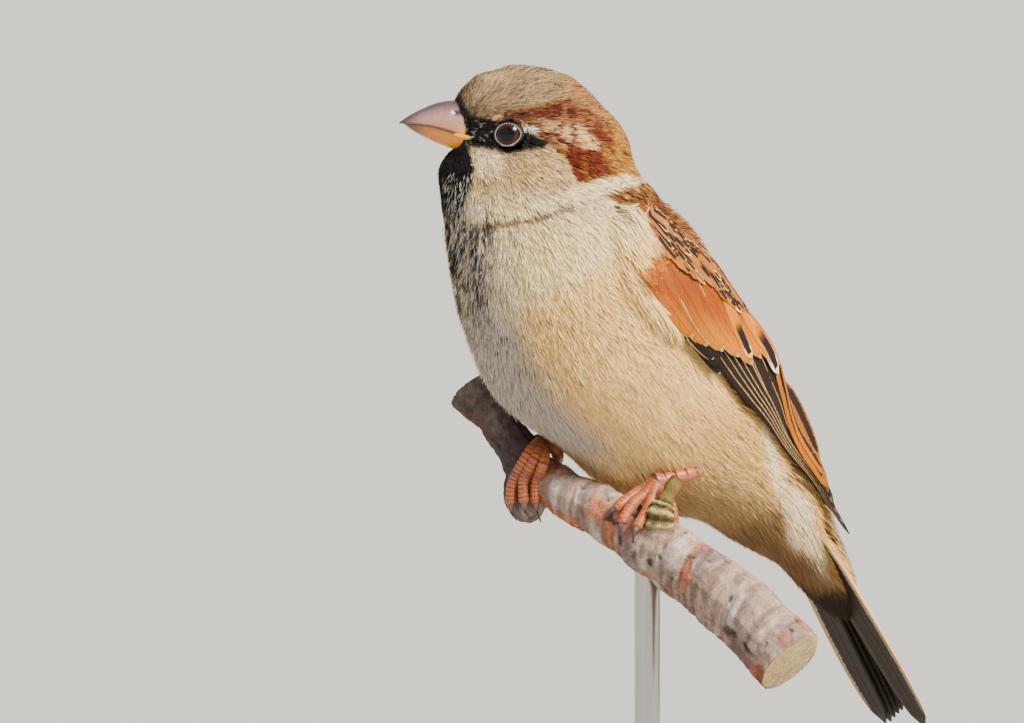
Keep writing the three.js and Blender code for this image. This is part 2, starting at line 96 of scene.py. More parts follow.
def alongCurve(points, t):
    # a Catmull-Rom curve at t, which counts the points it has passed
    p = np.asarray(points, float)
    last = len(p) - 1
    p = np.vstack((2 * p[0] - p[1], p, 2 * p[-1] - p[-2]))
    i = np.minimum(t.astype(int), last - 1)
    s = (t - i)[:, None]
    a, b, c, d = p[i], p[i + 1], p[i + 2], p[i + 3]
    return 0.5 * (2 * b + (c - a) * s + (2 * a - 5 * b + 4 * c - d) * s**2 + (3 * b - a - 3 * c + d) * s**3)


def runAlong(line):
    return np.concatenate(([0], np.cumsum(np.linalg.norm(np.diff(line, axis=0), axis=1))))


def curveThrough(points, count):
    # the same curve at even steps of its length
    last = len(points) - 1
    fine = alongCurve(points, np.linspace(0, last, 40 * last))
    run = runAlong(fine)
    at = np.linspace(0, run[-1], count)
    return np.stack([np.interp(at, run, fine[:, k]) for k in range(fine.shape[1])], axis=1)


def nearestOn(line, points):
    # the number of the line's point nearest to each place, in batches to spare memory
    batches = np.array_split(points, len(points) // 4000 + 1)
    return np.concatenate([np.argmin(((part[:, None] - line) ** 2).sum(-1), axis=1) for part in batches])


def gridFaces(grids, rows, columns, closed=False):
    # quads of many equal grids whose points run column by column inside each row
    wide = columns if closed else columns - 1
    r, c = np.meshgrid(np.arange(rows - 1), np.arange(wide), indexing="ij")
    here = r * columns + c
    beside = r * columns + (c + 1) % columns
    quad = np.stack((here, beside, beside + columns, here + columns), axis=-1).reshape(-1, 4)
    return (quad[None] + (np.arange(grids) * rows * columns)[:, None, None]).reshape(-1, 4)


def cappedFaces(rows, columns, flipped=False):
    # the quads of a closed tube and a face over each end
    faces = gridFaces(1, rows, columns, closed=True).tolist()
    faces += [list(range(columns))[::-1], [(rows - 1) * columns + k for k in range(columns)]]
    return [f[::-1] for f in faces] if flipped else faces


def addObject(name, data):
    made = bpy.data.objects.new(name, data)
    bpy.context.scene.collection.objects.link(made)
    return made


def addFacing(name, data, place, way):
    # a camera or lamp that looks along way
    made = addObject(name, data)
    made.location = place
    made.rotation_mode = "QUATERNION"
    made.rotation_quaternion = way.to_track_quat("-Z", "Y")
    return made


def makePiece(name, points, faces, material):
    mesh = bpy.data.meshes.new(name)
    places = ((np.asarray(points).reshape(-1, 3) + birdAt) * mm).tolist()
    mesh.from_pydata(places, [], faces.tolist() if isinstance(faces, np.ndarray) else faces)
    mesh.polygons.foreach_set("use_smooth", np.ones(len(mesh.polygons), bool))
    mesh.materials.append(material)
    piece = addObject(name, mesh)
    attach(piece, "root")
    return piece


def addColours(piece, name, colours):
    colours = np.asarray(colours, float).reshape(-1, 3)
    layer = piece.data.color_attributes.new(name, "FLOAT_COLOR", "POINT")
    full = np.hstack((np.clip(colours, 0, 1), np.ones((len(colours), 1))))
    layer.data.foreach_set("color", full.astype(np.float32).ravel())


def addMap(piece, name, places):
    places = np.asarray(places, float).reshape(-1, 2)
    layer = piece.data.uv_layers.new(name=name)
    corner = np.empty(len(piece.data.loops), np.int32)
    piece.data.loops.foreach_get("vertex_index", corner)
    layer.data.foreach_set("uv", places[corner].astype(np.float32).ravel())


# Camera: level with the breast, from the bird's left and a little ahead.
cameraSet = {"aim": (-0.0192, 0.0220, 0.0967), "azimuth": -30, "elevation": 3, "distance": 6.0,
             "lens": 1075.8, "sensor": 36, "near": 0.05, "far": 60}


def makeCamera(look):
    azimuth, elevation = math.radians(look["azimuth"]), math.radians(look["elevation"])
    back = Vector((math.sin(azimuth) * math.cos(elevation), -math.cos(azimuth) * math.cos(elevation),
                   math.sin(elevation)))
    data = bpy.data.cameras.new("camera")
    data.lens, data.sensor_width = look["lens"], look["sensor"]
    data.clip_start, data.clip_end = look["near"], look["far"]
    bpy.context.scene.camera = addFacing("camera", data, Vector(look["aim"]) + back * look["distance"], -back)


makeCamera(cameraSet)
print("camera ready")


# Shader helpers.
def feed(tree, node, inputs):
    for key, value in inputs.items():
        if isinstance(value, bpy.types.NodeSocket):
            tree.links.new(value, node.inputs[key])
        else:
            node.inputs[key].default_value = value
    return node


def addNode(tree, kind, inputs=None, **settings):
    made = tree.nodes.new(kind)
    for key, value in settings.items():
        setattr(made, key, value)
    return feed(tree, made, inputs or {})


def mathNode(tree, operation, a, b=0.5):
    return addNode(tree, "ShaderNodeMath", {0: a, 1: b}, operation=operation).outputs[0]


def mixNode(tree, factor, a, b, blend="MIX"):
    return addNode(tree, "ShaderNodeMix", {0: factor, 6: a, 7: b}, data_type="RGBA", blend_type=blend).outputs[2]


def stepNode(tree, value, low, high, toLow=0.0, toHigh=1.0):
    return addNode(tree, "ShaderNodeMapRange", {0: value, 1: low, 2: high, 3: toLow, 4: toHigh},
                   interpolation_type="SMOOTHSTEP").outputs[0]


def unevenNode(tree, colour, noise, low, high):
    # a colour made darker and lighter by noise, between the shares low and high
    share = addNode(tree, "ShaderNodeMapRange", {0: noise, 1: 0.3, 2: 0.7, 3: low, 4: high}).outputs[0]
    grey = addNode(tree, "ShaderNodeCombineColor", {0: share, 1: share, 2: share}).outputs[0]
    return mixNode(tree, 1.0, colour, grey, "MULTIPLY")


def meshTone(tree, name="tone"):
    return addNode(tree, "ShaderNodeAttribute", attribute_name=name).outputs["Color"]


def newGroup(name, inputs, outputs):
    group = bpy.data.node_groups.new(name, "ShaderNodeTree")
    for label, kind, value in inputs:
        socket = group.interface.new_socket(name=label, in_out="INPUT", socket_type=kind)
        if value is not None:
            socket.default_value = value
    for label, kind in outputs:
        group.interface.new_socket(name=label, in_out="OUTPUT", socket_type=kind)
    return group, group.nodes.new("NodeGroupInput"), group.nodes.new("NodeGroupOutput")


def newMaterial(name, **fixed):
    material = bpy.data.materials.new(name)
    material.use_nodes = True
    shader = material.node_tree.nodes["Principled BSDF"]
    for socket, value in fixed.items():
        shader.inputs[socket.replace("_", " ")].default_value = value
    return material, material.node_tree, shader


def bumpInto(tree, shader, height, distance, strength):
    bump = addNode(tree, "ShaderNodeBump", {"Height": height, "Distance": distance, "Strength": strength})
    feed(tree, shader, {"Normal": bump.outputs[0]})


floatKind, colourKind, vectorKind = "NodeSocketFloat", "NodeSocketColor", "NodeSocketVector"


def makeGrain():
    # uneven tint and a fine relief, from noise at one size in the object's own metres
    group, given, out = newGroup("grain", [("Colour", colourKind, None), ("Size mm", floatKind, 1.0),
                                           ("Tint", floatKind, 0.2), ("Stretch", vectorKind, (1, 1, 1))],
                                 [("Colour", colourKind), ("Height", floatKind)])
    place = addNode(group, "ShaderNodeTexCoord").outputs["Object"]
    scale = mathNode(group, "DIVIDE", 1000.0, given.outputs["Size mm"])
    stretched = addNode(group, "ShaderNodeVectorMath", {0: place, 1: given.outputs["Stretch"]},
                        operation="MULTIPLY").outputs[0]
    noise = addNode(group, "ShaderNodeTexNoise", {"Vector": stretched, "Scale": scale, "Detail": 3.0,
                                                  "Roughness": 0.6}).outputs["Fac"]
    low = mathNode(group, "SUBTRACT", 1.0, given.outputs["Tint"])
    high = mathNode(group, "ADD", 1.0, given.outputs["Tint"])
    feed(group, out, {"Colour": unevenNode(group, given.outputs["Colour"], noise, low, high), "Height": noise})
    return group


def makeVaneLines():
    # barbs that slant off the shaft, the shaft itself and the fringe round a vane's edge
    group, given, out = newGroup("vaneLines", [("Tone", colourKind, None), ("Fringe", colourKind, None),
                                               ("Fringe Start", floatKind, 0.8), ("Barbs", floatKind, 60.0),
                                               ("Shaft", floatKind, 0.3), ("Upper Side", floatKind, 1.0)],
                                 [("Colour", colourKind), ("Height", floatKind)])
    place = addNode(group, "ShaderNodeUVMap", uv_map="vane").outputs[0]
    across, along = addNode(group, "ShaderNodeSeparateXYZ", {0: place}).outputs[:2]
    off = mathNode(group, "ABSOLUTE", mathNode(group, "SUBTRACT", across, 0.5))
    wide = mathNode(group, "MULTIPLY", off, 2.0)
    slant = mathNode(group, "SUBTRACT", mathNode(group, "MULTIPLY", along, given.outputs["Barbs"]),
                     mathNode(group, "MULTIPLY", off, 9.0))
    wave = mathNode(group, "SINE", mathNode(group, "MULTIPLY", slant, 6.2832))
    flaw = addNode(group, "ShaderNodeTexNoise",
                   {"Vector": addNode(group, "ShaderNodeCombineXYZ", {0: across, 1: slant, 2: 0.0}).outputs[0],
                    "Scale": 1.7, "Detail": 2.0}).outputs["Fac"]
    onUpper = mathNode(group, "GREATER_THAN", across, 0.5)
    kept = addNode(group, "ShaderNodeMapRange", {0: onUpper, 3: 1.0, 4: given.outputs["Upper Side"]}).outputs[0]
    reach = mathNode(group, "MAXIMUM", mathNode(group, "MULTIPLY", wide, kept), stepNode(group, along, 0.86, 1.0))
    uneven = mathNode(group, "ADD", reach, mathNode(group, "MULTIPLY", mathNode(group, "SUBTRACT", flaw, 0.5), 0.35))
    edge = stepNode(group, uneven, mathNode(group, "SUBTRACT", given.outputs["Fringe Start"], 0.08),
                    mathNode(group, "ADD", given.outputs["Fringe Start"], 0.06))
    body = unevenNode(group, mixNode(group, edge, given.outputs["Tone"], given.outputs["Fringe"]), flaw, 0.72, 1.2)
    shaft = stepNode(group, wide, 0.05, 0.12, 1.0, 0.0)
    dark = mixNode(group, mathNode(group, "MULTIPLY", shaft, given.outputs["Shaft"]), body, paint(38, 24, 16))
    height = mathNode(group, "ADD", mathNode(group, "MULTIPLY", wave, 0.3), mathNode(group, "MULTIPLY", shaft, 1.5))
    feed(group, out, {"Colour": dark, "Height": height})
    return group


grainGroup = makeGrain()
vaneGroup = makeVaneLines()


def grained(tree, colour, size, tint, stretch=(1, 1, 1)):
    # the colour and the height that grain gives
    return addNode(tree, "ShaderNodeGroup", {"Colour": colour, "Size mm": size, "Tint": tint, "Stretch": stretch},
                   node_tree=grainGroup).outputs[:2]


def grainMaterial(name, size, tint, relief=(), colour=meshTone, stretch=(1, 1, 1), **fixed):
    # relief is the bump's depth in metres and its strength
    material, tree, shader = newMaterial(name, **fixed)
    shown, height = grained(tree, colour(tree), size, tint, stretch)
    feed(tree, shader, {"Base Color": shown})
    if relief:
        bumpInto(tree, shader, height, *relief)
    return material


def plumeMaterial(name, size=0.5, tint=0.16, roughness=0.8, sheen=0.05):
    return grainMaterial(name, size, tint, (0.00008, 0.6), Roughness=roughness, Sheen_Weight=sheen,
                         Sheen_Roughness=0.5, Specular_IOR_Level=0.25)


def vaneMaterial(name, barbs, fringeStart, shaft, upperSide, roughness=0.62):
    material, tree, shader = newMaterial(name, Roughness=roughness, Specular_IOR_Level=0.2)
    lines = addNode(tree, "ShaderNodeGroup", {"Tone": meshTone(tree), "Fringe": meshTone(tree, "fringe"),
                                              "Barbs": barbs, "Fringe Start": fringeStart, "Shaft": shaft,
                                              "Upper Side": upperSide}, node_tree=vaneGroup)
    feed(tree, shader, {"Base Color": lines.outputs["Colour"]})
    bumpInto(tree, shader, lines.outputs["Height"], 0.00006, 0.7)
    return material


# Where things lie on the head and along the body.
headAt = np.array((-14.0, 2.0, 136.0))
headTurn = math.radians(-22)
headForward = np.array((-math.cos(headTurn), -math.sin(headTurn), 0.0))
headLeft = np.array((math.sin(headTurn), -math.cos(headTurn), 0.0))
headUp = np.array((0.0, 0.0, 1.0))


def onHead(forward, left, up):
    return headAt + forward * headForward + left * headLeft + up * headUp


def headPlace(points):
    away = points - headAt
    return away @ headForward, np.abs(away @ headLeft), away @ headUp


spine = curveThrough([(-14, 2, 138), (-12, 0.8, 127), (-8, 0, 117), (2, 0, 105), (18, 0, 88), (33, 0, 76.5),
                      (44, 0, 65.5), (57, 0, 46.5)], 120)
spineWay = unit(np.gradient(spine, axis=0))
spineRun = runAlong(spine)
spineUp = unit(np.cross(spineWay, (0.0, 1.0, 0.0)))


def bodyPlace(points):
    # how far down the spine, how far round it from the belly's middle line to the back's, and the station
    near = nearestOn(spine, points)
    away = points - spine[near]
    rise = (away * spineUp[near]).sum(-1)
    out = away[:, 1] - (away * spineWay[near]).sum(-1) * spineWay[near][:, 1]
    return spineRun[near], np.degrees(np.arctan2(np.abs(out), -rise)), near, out


def coatDepth(points):
    forward, wide, up = headPlace(points)
    run = bodyPlace(points)[0]
    depth = blendOf(0.9, 1.9, rising(run, 12, 30))
    depth = blendOf(depth, 0.45, rising(forward, 5, 11) * rising(up, -3, 3))
    return blendOf(depth, 1.0, rising(run, 92, 112))


def melted(mesh, look):
    # the mesh's solids run together: points and ways out in millimetres, and faces
    body = addObject("melted", mesh)
    weld = body.modifiers.new("weld", "WELD")
    weld.merge_threshold = 0.01 * mm
    melt = body.modifiers.new("melt", "REMESH")
    melt.mode, melt.voxel_size = "VOXEL", look["voxel"] * mm
    ease = body.modifiers.new("ease", "SMOOTH")
    ease.factor, ease.iterations = 0.5, look["smoothing"]
    made = body.evaluated_get(bpy.context.evaluated_depsgraph_get()).to_mesh()
    points = np.array([v.co for v in made.vertices]) / mm - birdAt
    normals = np.array([n.vector for n in made.vertex_normals])
    faces = [list(p.vertices) for p in made.polygons]
    bpy.data.objects.remove(body)
    return points, normals, faces


# The skin: head, neck and trunk melted into one, then sunk by the depth of the coat.
skinSet = {"swell": 0.25, "voxel": 0.75, "smoothing": 6, "nodes": ("head", "neck", "trunk"),
           "bulges": [((13.5, 0, 12.5), 9.5, 1.5), ((9.5, 0, 17.5), 7.5, 0.6), ((15.5, 0, -1.2), 5.2, 1.3),
                      ((3, 0, 20), 9, 0.3), ((-12.5, 0, 12.5), 9, -0.7), ((-17, 2, 4), 8.5, 1.1)]}


def meltedBody(look):
    verts, faces = [], []
    for name in look["nodes"]:
        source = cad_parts[name].data
        start = len(verts)
        flat = np.array([v.co for v in source.vertices])
        normals = np.array([n.vector for n in source.vertex_normals])
        verts.extend((flat + normals * look["swell"] * mm).tolist())
        faces.extend([[start + i for i in p.vertices] for p in source.polygons])
    mesh = bpy.data.meshes.new("flesh")
    mesh.from_pydata(verts, [], faces)
    points, normals, faces = melted(mesh, look)
    points -= normals * look["swell"]
    for place, reach, push in look["bulges"]:
        gap = np.linalg.norm(points - onHead(*place), axis=1)
        middle = falling(headPlace(points)[1], 2.5, 6)
        points = points + normals * (push * falling(gap, 0, reach) * middle)[:, None]
    return points, normals, faces


coatTop, coatNormals, skinFaces = meltedBody(skinSet)
skinPoints = coatTop - coatNormals * coatDepth(coatTop)[:, None]
skinTree = BVHTree.FromPolygons(skinPoints.tolist(), skinFaces)
coatTree = BVHTree.FromPolygons(coatTop.tolist(), skinFaces)
print("skin melted:", len(skinPoints), "points")


def onSurface(tree, points):
    found = [tree.find_nearest(p) for p in points.tolist()]
    return np.array([f[0] for f in found]), np.array([f[1] for f in found])


def raised(points, lift):
    # points pushed out until they lie that far outside the coat
    place, normal = onSurface(coatTree, points)
    out = ((points - place) * normal).sum(-1)
    return np.where((out < lift)[:, None], place + normal * np.reshape(lift, (-1, 1)), points)


def lieOfCoat(points, normals):
    # away from the bill's root over the head, then down the spine to the tail
    run, _, near, _ = bodyPlace(points)
    share = falling(run, 12, 26)[:, None]
    way = unit(unit(points - onHead(11, 0, 7)) * share + spineWay[near] * (1 - share))
    return unit(way - (way * normals).sum(-1, keepdims=True) * normals)


# Plumage tones.
tones = {name: tone(*shade) for name, shade in {
    "crown": (166, 138, 100), "crownRear": (186, 112, 34), "forehead": (104, 82, 72),
    "chestnut": (108, 35, 6), "chestnutPale": (200, 142, 54), "buff": (238, 190, 130),
    "cheek": (212, 180, 128), "cheekFront": (252, 230, 180), "collar": (255, 232, 176),
    "black": (24, 20, 19), "bibFringe": (216, 208, 198), "white": (253, 251, 246),
    "throatGrey": (196, 184, 170), "breast": (255, 213, 136), "flank": (230, 186, 110),
    # the belly's tone is darker than the breast's, partly its own colour and partly painted shade of the underside
    # the vent's brown is partly its own colour and partly painted shade under the belly and the wing
    "belly": (206, 172, 118), "vent": (156, 122, 82), "underTail": (250, 226, 182),
    "rump": (160, 130, 96), "mantle": (166, 100, 38), "mantleDark": (36, 24, 18),
    "mantleBuff": (232, 178, 104), "flightDark": (34, 21, 14), "flightFringe": (230, 190, 136),
    "tertialOrange": (164, 94, 14), "covertOrange": (204, 116, 2), "covertRed": (150, 70, 4),
    "covertPale": (252, 196, 110), "covertTip": (255, 240, 212), "alula": (28, 19, 18),
    "tailTone": (52, 44, 33), "tailFringe": (214, 182, 136),
}.items()}


def spot(x, y, centre, size, tilt=0.0):
    # 1 inside an ellipse on the side of the head, falling to 0 round its edge
    c, s = math.cos(math.radians(tilt)), math.sin(math.radians(tilt))
    dx, dy = x - centre[0], y - centre[1]
    reach = np.hypot((dx * c + dy * s) / size[0], (dy * c - dx * s) / size[1])
    return falling(reach, 0.75, 1.15)


def stroke(x, y, line, soft=0.5):
    # 1 within a brush stroke given as (x, y, half width) points
    inside = np.full(np.shape(x), -9.0)
    for (x0, y0, w0), (x1, y1, w1) in zip(line, line[1:]):
        share = np.clip(((x - x0) * (x1 - x0) + (y - y0) * (y1 - y0)) / ((x1 - x0) ** 2 + (y1 - y0) ** 2), 0, 1)
        gap = np.hypot(x - blendOf(x0, x1, share), y - blendOf(y0, y1, share))
        inside = np.maximum(inside, blendOf(w0, w1, share) - gap)
    return rising(inside, -soft, soft)


def layered(base, *layers):
    # each layer is a tone and how much of it shows at each place
    colour = base + np.zeros((len(layers[0][1]), 1))
    for top, share in layers:
        colour = colour + (top - colour) * share[:, None]
    return colour


# Marks on the side of the head, as strokes of (forward, up, half width) in millimetres.
eyeMask = [(16.5, 9.4, 1.2), (12.5, 6.7, 3.0), (9.3, 6.4, 3.1), (5.5, 5.6, 3.2), (2.3, 4.8, 1.9), (-1.2, 4.4, 0.9)]
frontalBand = [(14.8, 13.6, 0.8), (14.8, 11.5, 1.2), (13.6, 9.4, 1.7)]
earStreak = [(1.2, 6.5, 0.5), (-3, 5.6, 0.9), (-6.8, 3.4, 1.3), (-12, -0.6, 2.4)]
browStreak = [(4.5, 10.0, 0.5), (0, 10.7, 1.1), (-4.5, 11.3, 1.4), (-9.5, 10.0, 1.5), (-14, 5.5, 2.0)]
collarLine = [(-21, -2.7, 0.9), (-18.5, -2.9, 1.3), (-14, -3.8, 1.6), (-8.5, -5.0, 1.7), (-2.6, -7.2, 1.1),
              (4.9, -9.0, 0.8), (9, -9.3, 1.4), (13, -8.9, 2.0)]
collarShade = [(10, -11.6, 0.5), (3, -10.6, 0.5), (-2, -9.3, 0.45), (-6, -7.6, 0.3)]
# where marks end on the head: places forward, and the heights there
crownEdge = ([-30, -12.6, -5, -2, 6.3, 10], [12.5, 12.8, 13.6, 12.3, 10.2, 9.6])
cheekEdge = ([-20, -19.4, -12, -7.9, -5.3, -1.5, 1.1, 6.3], [-2.2, -1.8, -2.6, -3.9, 1.6, 4.9, 7.4, 9.0])
collarEdge = ([-22, -18.5, -13.6, -7.5], [-3.6, -4.2, -5.5, -6.8])
# where the bib ends: heights, and the places forward there
bibEdge = ([-24, -17, -8.5, -6, -3.3, -0.5, 2.3, 5], [15.5, 14.4, 14.1, 13.7, 12.6, 12.1, 12.6, 13.2])
# the pale patch beside the vent, along and up the whole bird
flankPatch = [(28, 84, 0.8), (31, 78, 1.8), (34, 72, 1.6), (38.6, 68, 3.0), (42, 61, 3.0), (46, 54.5, 2.2),
              (48, 51.5, 1.2)]
# where the breast's feathers end over the wing: heights, and the places along there
breastEdge = ([101.6, 105.5, 109.4, 111.8, 114.5, 117.9, 121.2, 124.5, 127.9, 130, 131.2, 134],
              [4.6, 0.9, -2.8, -4.3, -4.4, -1.5, 1.4, 0.3, -3.1, -6.7, -8.6, -12])


def markings(points):
    forward, wide, up = headPlace(points)
    run, around = bodyPlace(points)[:2]
    x, y, z = points.T
    coarse, fine = valueNoise(points * 0.8, 11), valueNoise(points * 1.9, 12)
    mottle = coarse + 0.8 * fine
    side, head = rising(around, 42, 78), falling(run, 20, 24)
    # chestnut from the eye over the side of the nape, and the grey crown above it
    band = rising(up - np.interp(forward, *cheekEdge) + 0.5 * fine, -0.6, 0.6) * falling(forward, 6.0, 7.4) * head
    streaks = np.maximum(stroke(forward, up, earStreak, 0.8), stroke(forward, up, browStreak, 0.8))
    crown = np.maximum.reduce([
        rising(up - np.interp(forward, *crownEdge), -0.7, 0.9) * rising(forward, -13.5, -9.5),
        falling(wide, 4.5, 6.5) * rising(forward, -13, -9) * rising(up, 8, 11),
        rising(forward, 6.2, 7.4) * rising(up, 9.0, 9.8)])
    # from the breast's edge up over the back
    behind = (rising(x - np.interp(z, *breastEdge), -0.4, 0.8)
              * falling(up - np.interp(forward, *collarEdge), -0.5, 0.3)
              * rising(around, 60, 75) * falling(run, 60, 70) * rising(-forward, 5, 9)
              * np.maximum(rising(z, 110, 113), rising(around, 100, 110)))
    bib = rising(forward - np.interp(up, *bibEdge) + 0.4 * fine, -0.6, 0.6) * (up < 5.0)
    broken = blendOf(0.35 + 0.6 * rising(mottle, -0.5, 0.2), 1.0, rising(up, -11, -8))
    lower = falling(np.abs(y - 1.5), 6, 10) * falling(up, -13, -9.5) * (around < 80)
    mask = stroke(forward, up, eyeMask)
    return layered(
        tones["breast"],
        # trunk
        (tones["flank"], side * rising(run, 52, 66)),
        # the belly, darker partly as painted shade of the underside
        (tones["belly"], (1 - side) * rising(run, 56, 70)),
        (tones["throatGrey"], falling(around, 14, 40) * falling(run, 46, 62)),
        # the vent, darker partly as painted shade under the belly and the wing
        (tones["vent"], rising(run, 80, 90)),
        (tones["flank"] * 0.85, rising(run, 82, 92) * rising(around, 65, 90)),
        (tones["rump"], rising(around, 112, 128) * rising(run, 62, 72)),
        (tones["underTail"], stroke(x, z, flankPatch, 1.2) * rising(np.abs(y), 5, 8)),
        (tones["tailTone"] * 1.3, rising(-z, -53, -49)),
        (tones["mantle"], rising(around, 108, 122) * rising(run, 24, 30) * falling(run, 62, 72)),
        # face and cheek
        (tones["cheek"], head * rising(up, -11.5, -9.5)),
        (tones["cheekFront"], spot(forward, up, (10, 0.8), (3.4, 3.4)) * (wide > 4)),
        (tones["cheekFront"], head * falling(up, -6.5, -3.5) * 0.7),
        # chestnut and crown
        (tones["chestnut"], band * rising(run, -1, 0.5)),
        (tones["chestnutPale"], band * rising(-forward, 11, 17) * 0.6),
        (tones["chestnutPale"], band * rising(mottle, 0.0, 0.8) * 0.45),
        (tones["buff"], band * spot(forward, up, (-7.0, 5.8), (6.4, 2.5), 14) * rising(mottle, -0.5, 0.25) * 0.9),
        (tones["chestnut"], band * streaks * (0.45 + 0.5 * rising(-mottle, -0.5, 0.3))),
        (tones["mantleDark"], band * rising(-fine, 0.36, 0.58) * 0.8),
        (tones["crown"], crown),
        (tones["crownRear"], crown * rising(-forward, 3, 11) * 0.8),
        (tones["forehead"], crown * rising(forward, 10.5, 14) * 0.6),
        (tones["rump"] * 0.35, crown * rising(-fine, 0.2, 0.42) * 0.62),
        # cream half collar under the cheek, a thin shadow line below it
        (tones["collar"], stroke(forward, up, collarLine) * rising(wide, 4, 8)
         * falling(run, 26, 30) * falling(forward, 12.3, 13.6)),
        (tones["rump"] * 0.4, stroke(forward, up, collarShade, 0.35) * (wide > 5) * 0.8),
        # rufous, black and buff behind the collar
        (tones["mantle"] * 0.72, behind),
        (tones["mantleBuff"], behind * rising(coarse, 0.15, 0.5) * 0.7),
        (tones["mantleDark"], behind * rising(-fine, 0.05, 0.35) * 0.85),
        # black bib, breaking up into spots down the breast
        (tones["black"], bib * broken * falling(-up, 20, 24)),
        (tones["black"], lower * rising(mottle, -0.75, 0.0) * 0.88 * rising(z, 97, 112)),
        # black through the eye, with its small white marks, and a painted highlight on the collar's front
        (tones["black"], mask * (wide > 2.5)),
        (tones["black"], stroke(forward, up, frontalBand) * 0.9),
        # a near-white spot on the collar's front: a painted highlight where the key light falls
        (tones["covertTip"], spot(forward, up, (11.2, -8.9), (2.8, 1.2), -4) * (wide > 3) * 0.7),
        (tones["white"], spot(forward, up, (1.2, 7.1), (1.5, 0.8), -8)),
        (tones["buff"], spot(forward, up, (7.6, 9.5), (1.2, 0.5), -15)),
        (tones["white"], spot(forward, up, (5.2, 3.7), (1.5, 0.35)) * (wide > 4)),
        (tones["throatGrey"], mask * (wide > 3) * rising(fine, 0.35, 0.6) * rising(forward, 6.5, 8) * 0.5))


def skinMap(points):
    # the skin laid flat: round the spine across, down the spine up
    run, around, _, out = bodyPlace(points)
    turn = np.where(out < 0, around, -around) / 360
    return np.stack((0.5 + 0.96 * turn, 0.02 + 0.96 * run / spineRun[-1]), axis=1)


# Feathers. A tuft is combed over the skin from its root; it is then split into locks or filled as a vane.
def scatterRoots(spacing, wanted):
    # seven throws for each cell of the spacing, of which a cell keeps the first
    corner = np.array([f[:3] for f in skinFaces])
    a, b, c = (skinPoints[corner[:, k]] for k in range(3))
    area = np.linalg.norm(np.cross(b - a, c - a), axis=1)
    keep = np.flatnonzero(wanted((a + b + c) / 3))
    total = int(area[keep].sum() / spacing**2 * 7)
    pick = dice.choice(keep, total, p=area[keep] / area[keep].sum())
    u, v = dice.random((2, total))
    points = a[pick] + u[:, None] * (b[pick] - a[pick]) + v[:, None] * (c[pick] - a[pick])
    shifted = points + dice.normal(0, 0.1 * spacing, points.shape)
    cell = np.floor(shifted / spacing).astype(int)
    first = np.unique(cell, axis=0, return_index=True)[1]
    return points[np.sort(first)]


def combTufts(roots, length, rows):
    place, normal = onSurface(skinTree, roots)
    places, normals = [place], [normal]
    for _ in range(rows - 1):
        way = lieOfCoat(place, normal)
        place, normal = onSurface(skinTree, place + way * (length / (rows - 1))[:, None])
        places.append(place)
        normals.append(normal)
    return np.stack(places, axis=1), np.stack(normals, axis=1)


def growLocks(name, roots, look):
    # each tuft is a fan of narrow pointed locks of barbs
    rows, blades = 5, look["blades"]
    count = len(roots)
    length = look["length"] * (1 + 0.22 * dice.standard_normal(count))
    length *= look["lengthAt"](roots) if "lengthAt" in look else 1
    places, normals = combTufts(roots, np.maximum(length, 0.4 * look["length"]), rows)
    sides = np.cross(normals, unit(np.gradient(places, axis=1)))
    share = np.linspace(0, 1, rows)
    # where each lock lies across its tuft and how far down it reaches
    offset = np.linspace(-1, 1, blades)[None] + dice.uniform(-0.25, 0.25, (count, blades))
    reach = 1 - 0.22 * offset**2 - dice.uniform(0, 0.25, (count, blades))
    along = np.clip(share[None, None] * reach[..., None], 0, 1) * (rows - 1)
    low = np.minimum(along.astype(int), rows - 2)
    part = (along - low)[..., None]
    who = np.arange(count)[:, None, None]

    def followed(values):
        return blendOf(values[who, low], values[who, low + 1], part)

    middle, normal, side = followed(places), followed(normals), followed(sides)
    # locks spread and rise towards their tips
    spread = look["width"] / 2 * offset[..., None] * blendOf(0.3, 1.0, share)
    lift = coatDepth(roots)[:, None, None] * (0.1 + 0.9 * share**0.8)
    lift = lift + look["lift"] * share**2 * (1 + 0.5 * dice.standard_normal((count, blades)))[..., None]
    if "riseAt" in look:
        lift = np.maximum(lift, followed(look["riseAt"](places)[..., None])[..., 0] - 0.3 * (1 - share))
    bend = look.get("curl", 0.0) * share**2 * dice.standard_normal((count, blades))[..., None]
    middle = middle + side * (spread + bend)[..., None] + normal * lift[..., None]
    roll = dice.normal(0, 0.35, (count, blades))[..., None, None]
    edge = side * np.cos(roll) + normal * np.sin(roll)
    half = look["blade"] / 2 * np.array((0.8, 1.0, 0.95, 0.66, 0.1))[None, None, :, None]
    points = np.stack((middle - edge * half, middle + edge * half), axis=3)
    piece = makePiece(name, points, gridFaces(count * blades, rows, 2)[:, ::-1], lockMaterial)
    # each lock has the mark under it, unevenly shaded
    base = markings(middle[:, :, 3].reshape(-1, 3)).reshape(count, blades, 3)
    shade = 1 + look["uneven"] * dice.standard_normal((count, blades))
    shade *= 1 + 0.06 * dice.standard_normal((count, 1))
    streak = dice.random((count, blades)) < look["streaks"]
    shade = np.where(streak, shade * look.get("streakShade", 0.5), shade)
    fade = blendOf(look.get("rootShade", 0.75), 1.0, rising(share, 0.05, 0.6))
    colours = base[:, :, None, :] * np.clip(shade, 0.2, 1.7)[..., None, None] * fade[None, None, :, None]
    if "tip" in look:
        tipped = (dice.random((count, blades)) < look["tipShare"])[..., None] * rising(share, 0.5, 0.9)
        tipped = tipped * look["tipAt"](roots)[:, None, None]
        colours = colours + (look["tip"] - colours) * tipped[..., None]
    addColours(piece, "tone", np.repeat(colours[:, :, :, None], 2, axis=3))
    flat = np.zeros((count, blades, rows, 2, 2))
    flat[..., 0] = offset[..., None, None] * 0.8 + np.array((-0.15, 0.15))
    flat[..., 1] = (2 * share - 1)[:, None]
    addMap(piece, "OFBake", skinMap(roots)[:, None, None, None, :] + 0.0014 * flat)
    print(name, "locks", count * blades, "triangles", count * blades * (rows - 1) * 2)


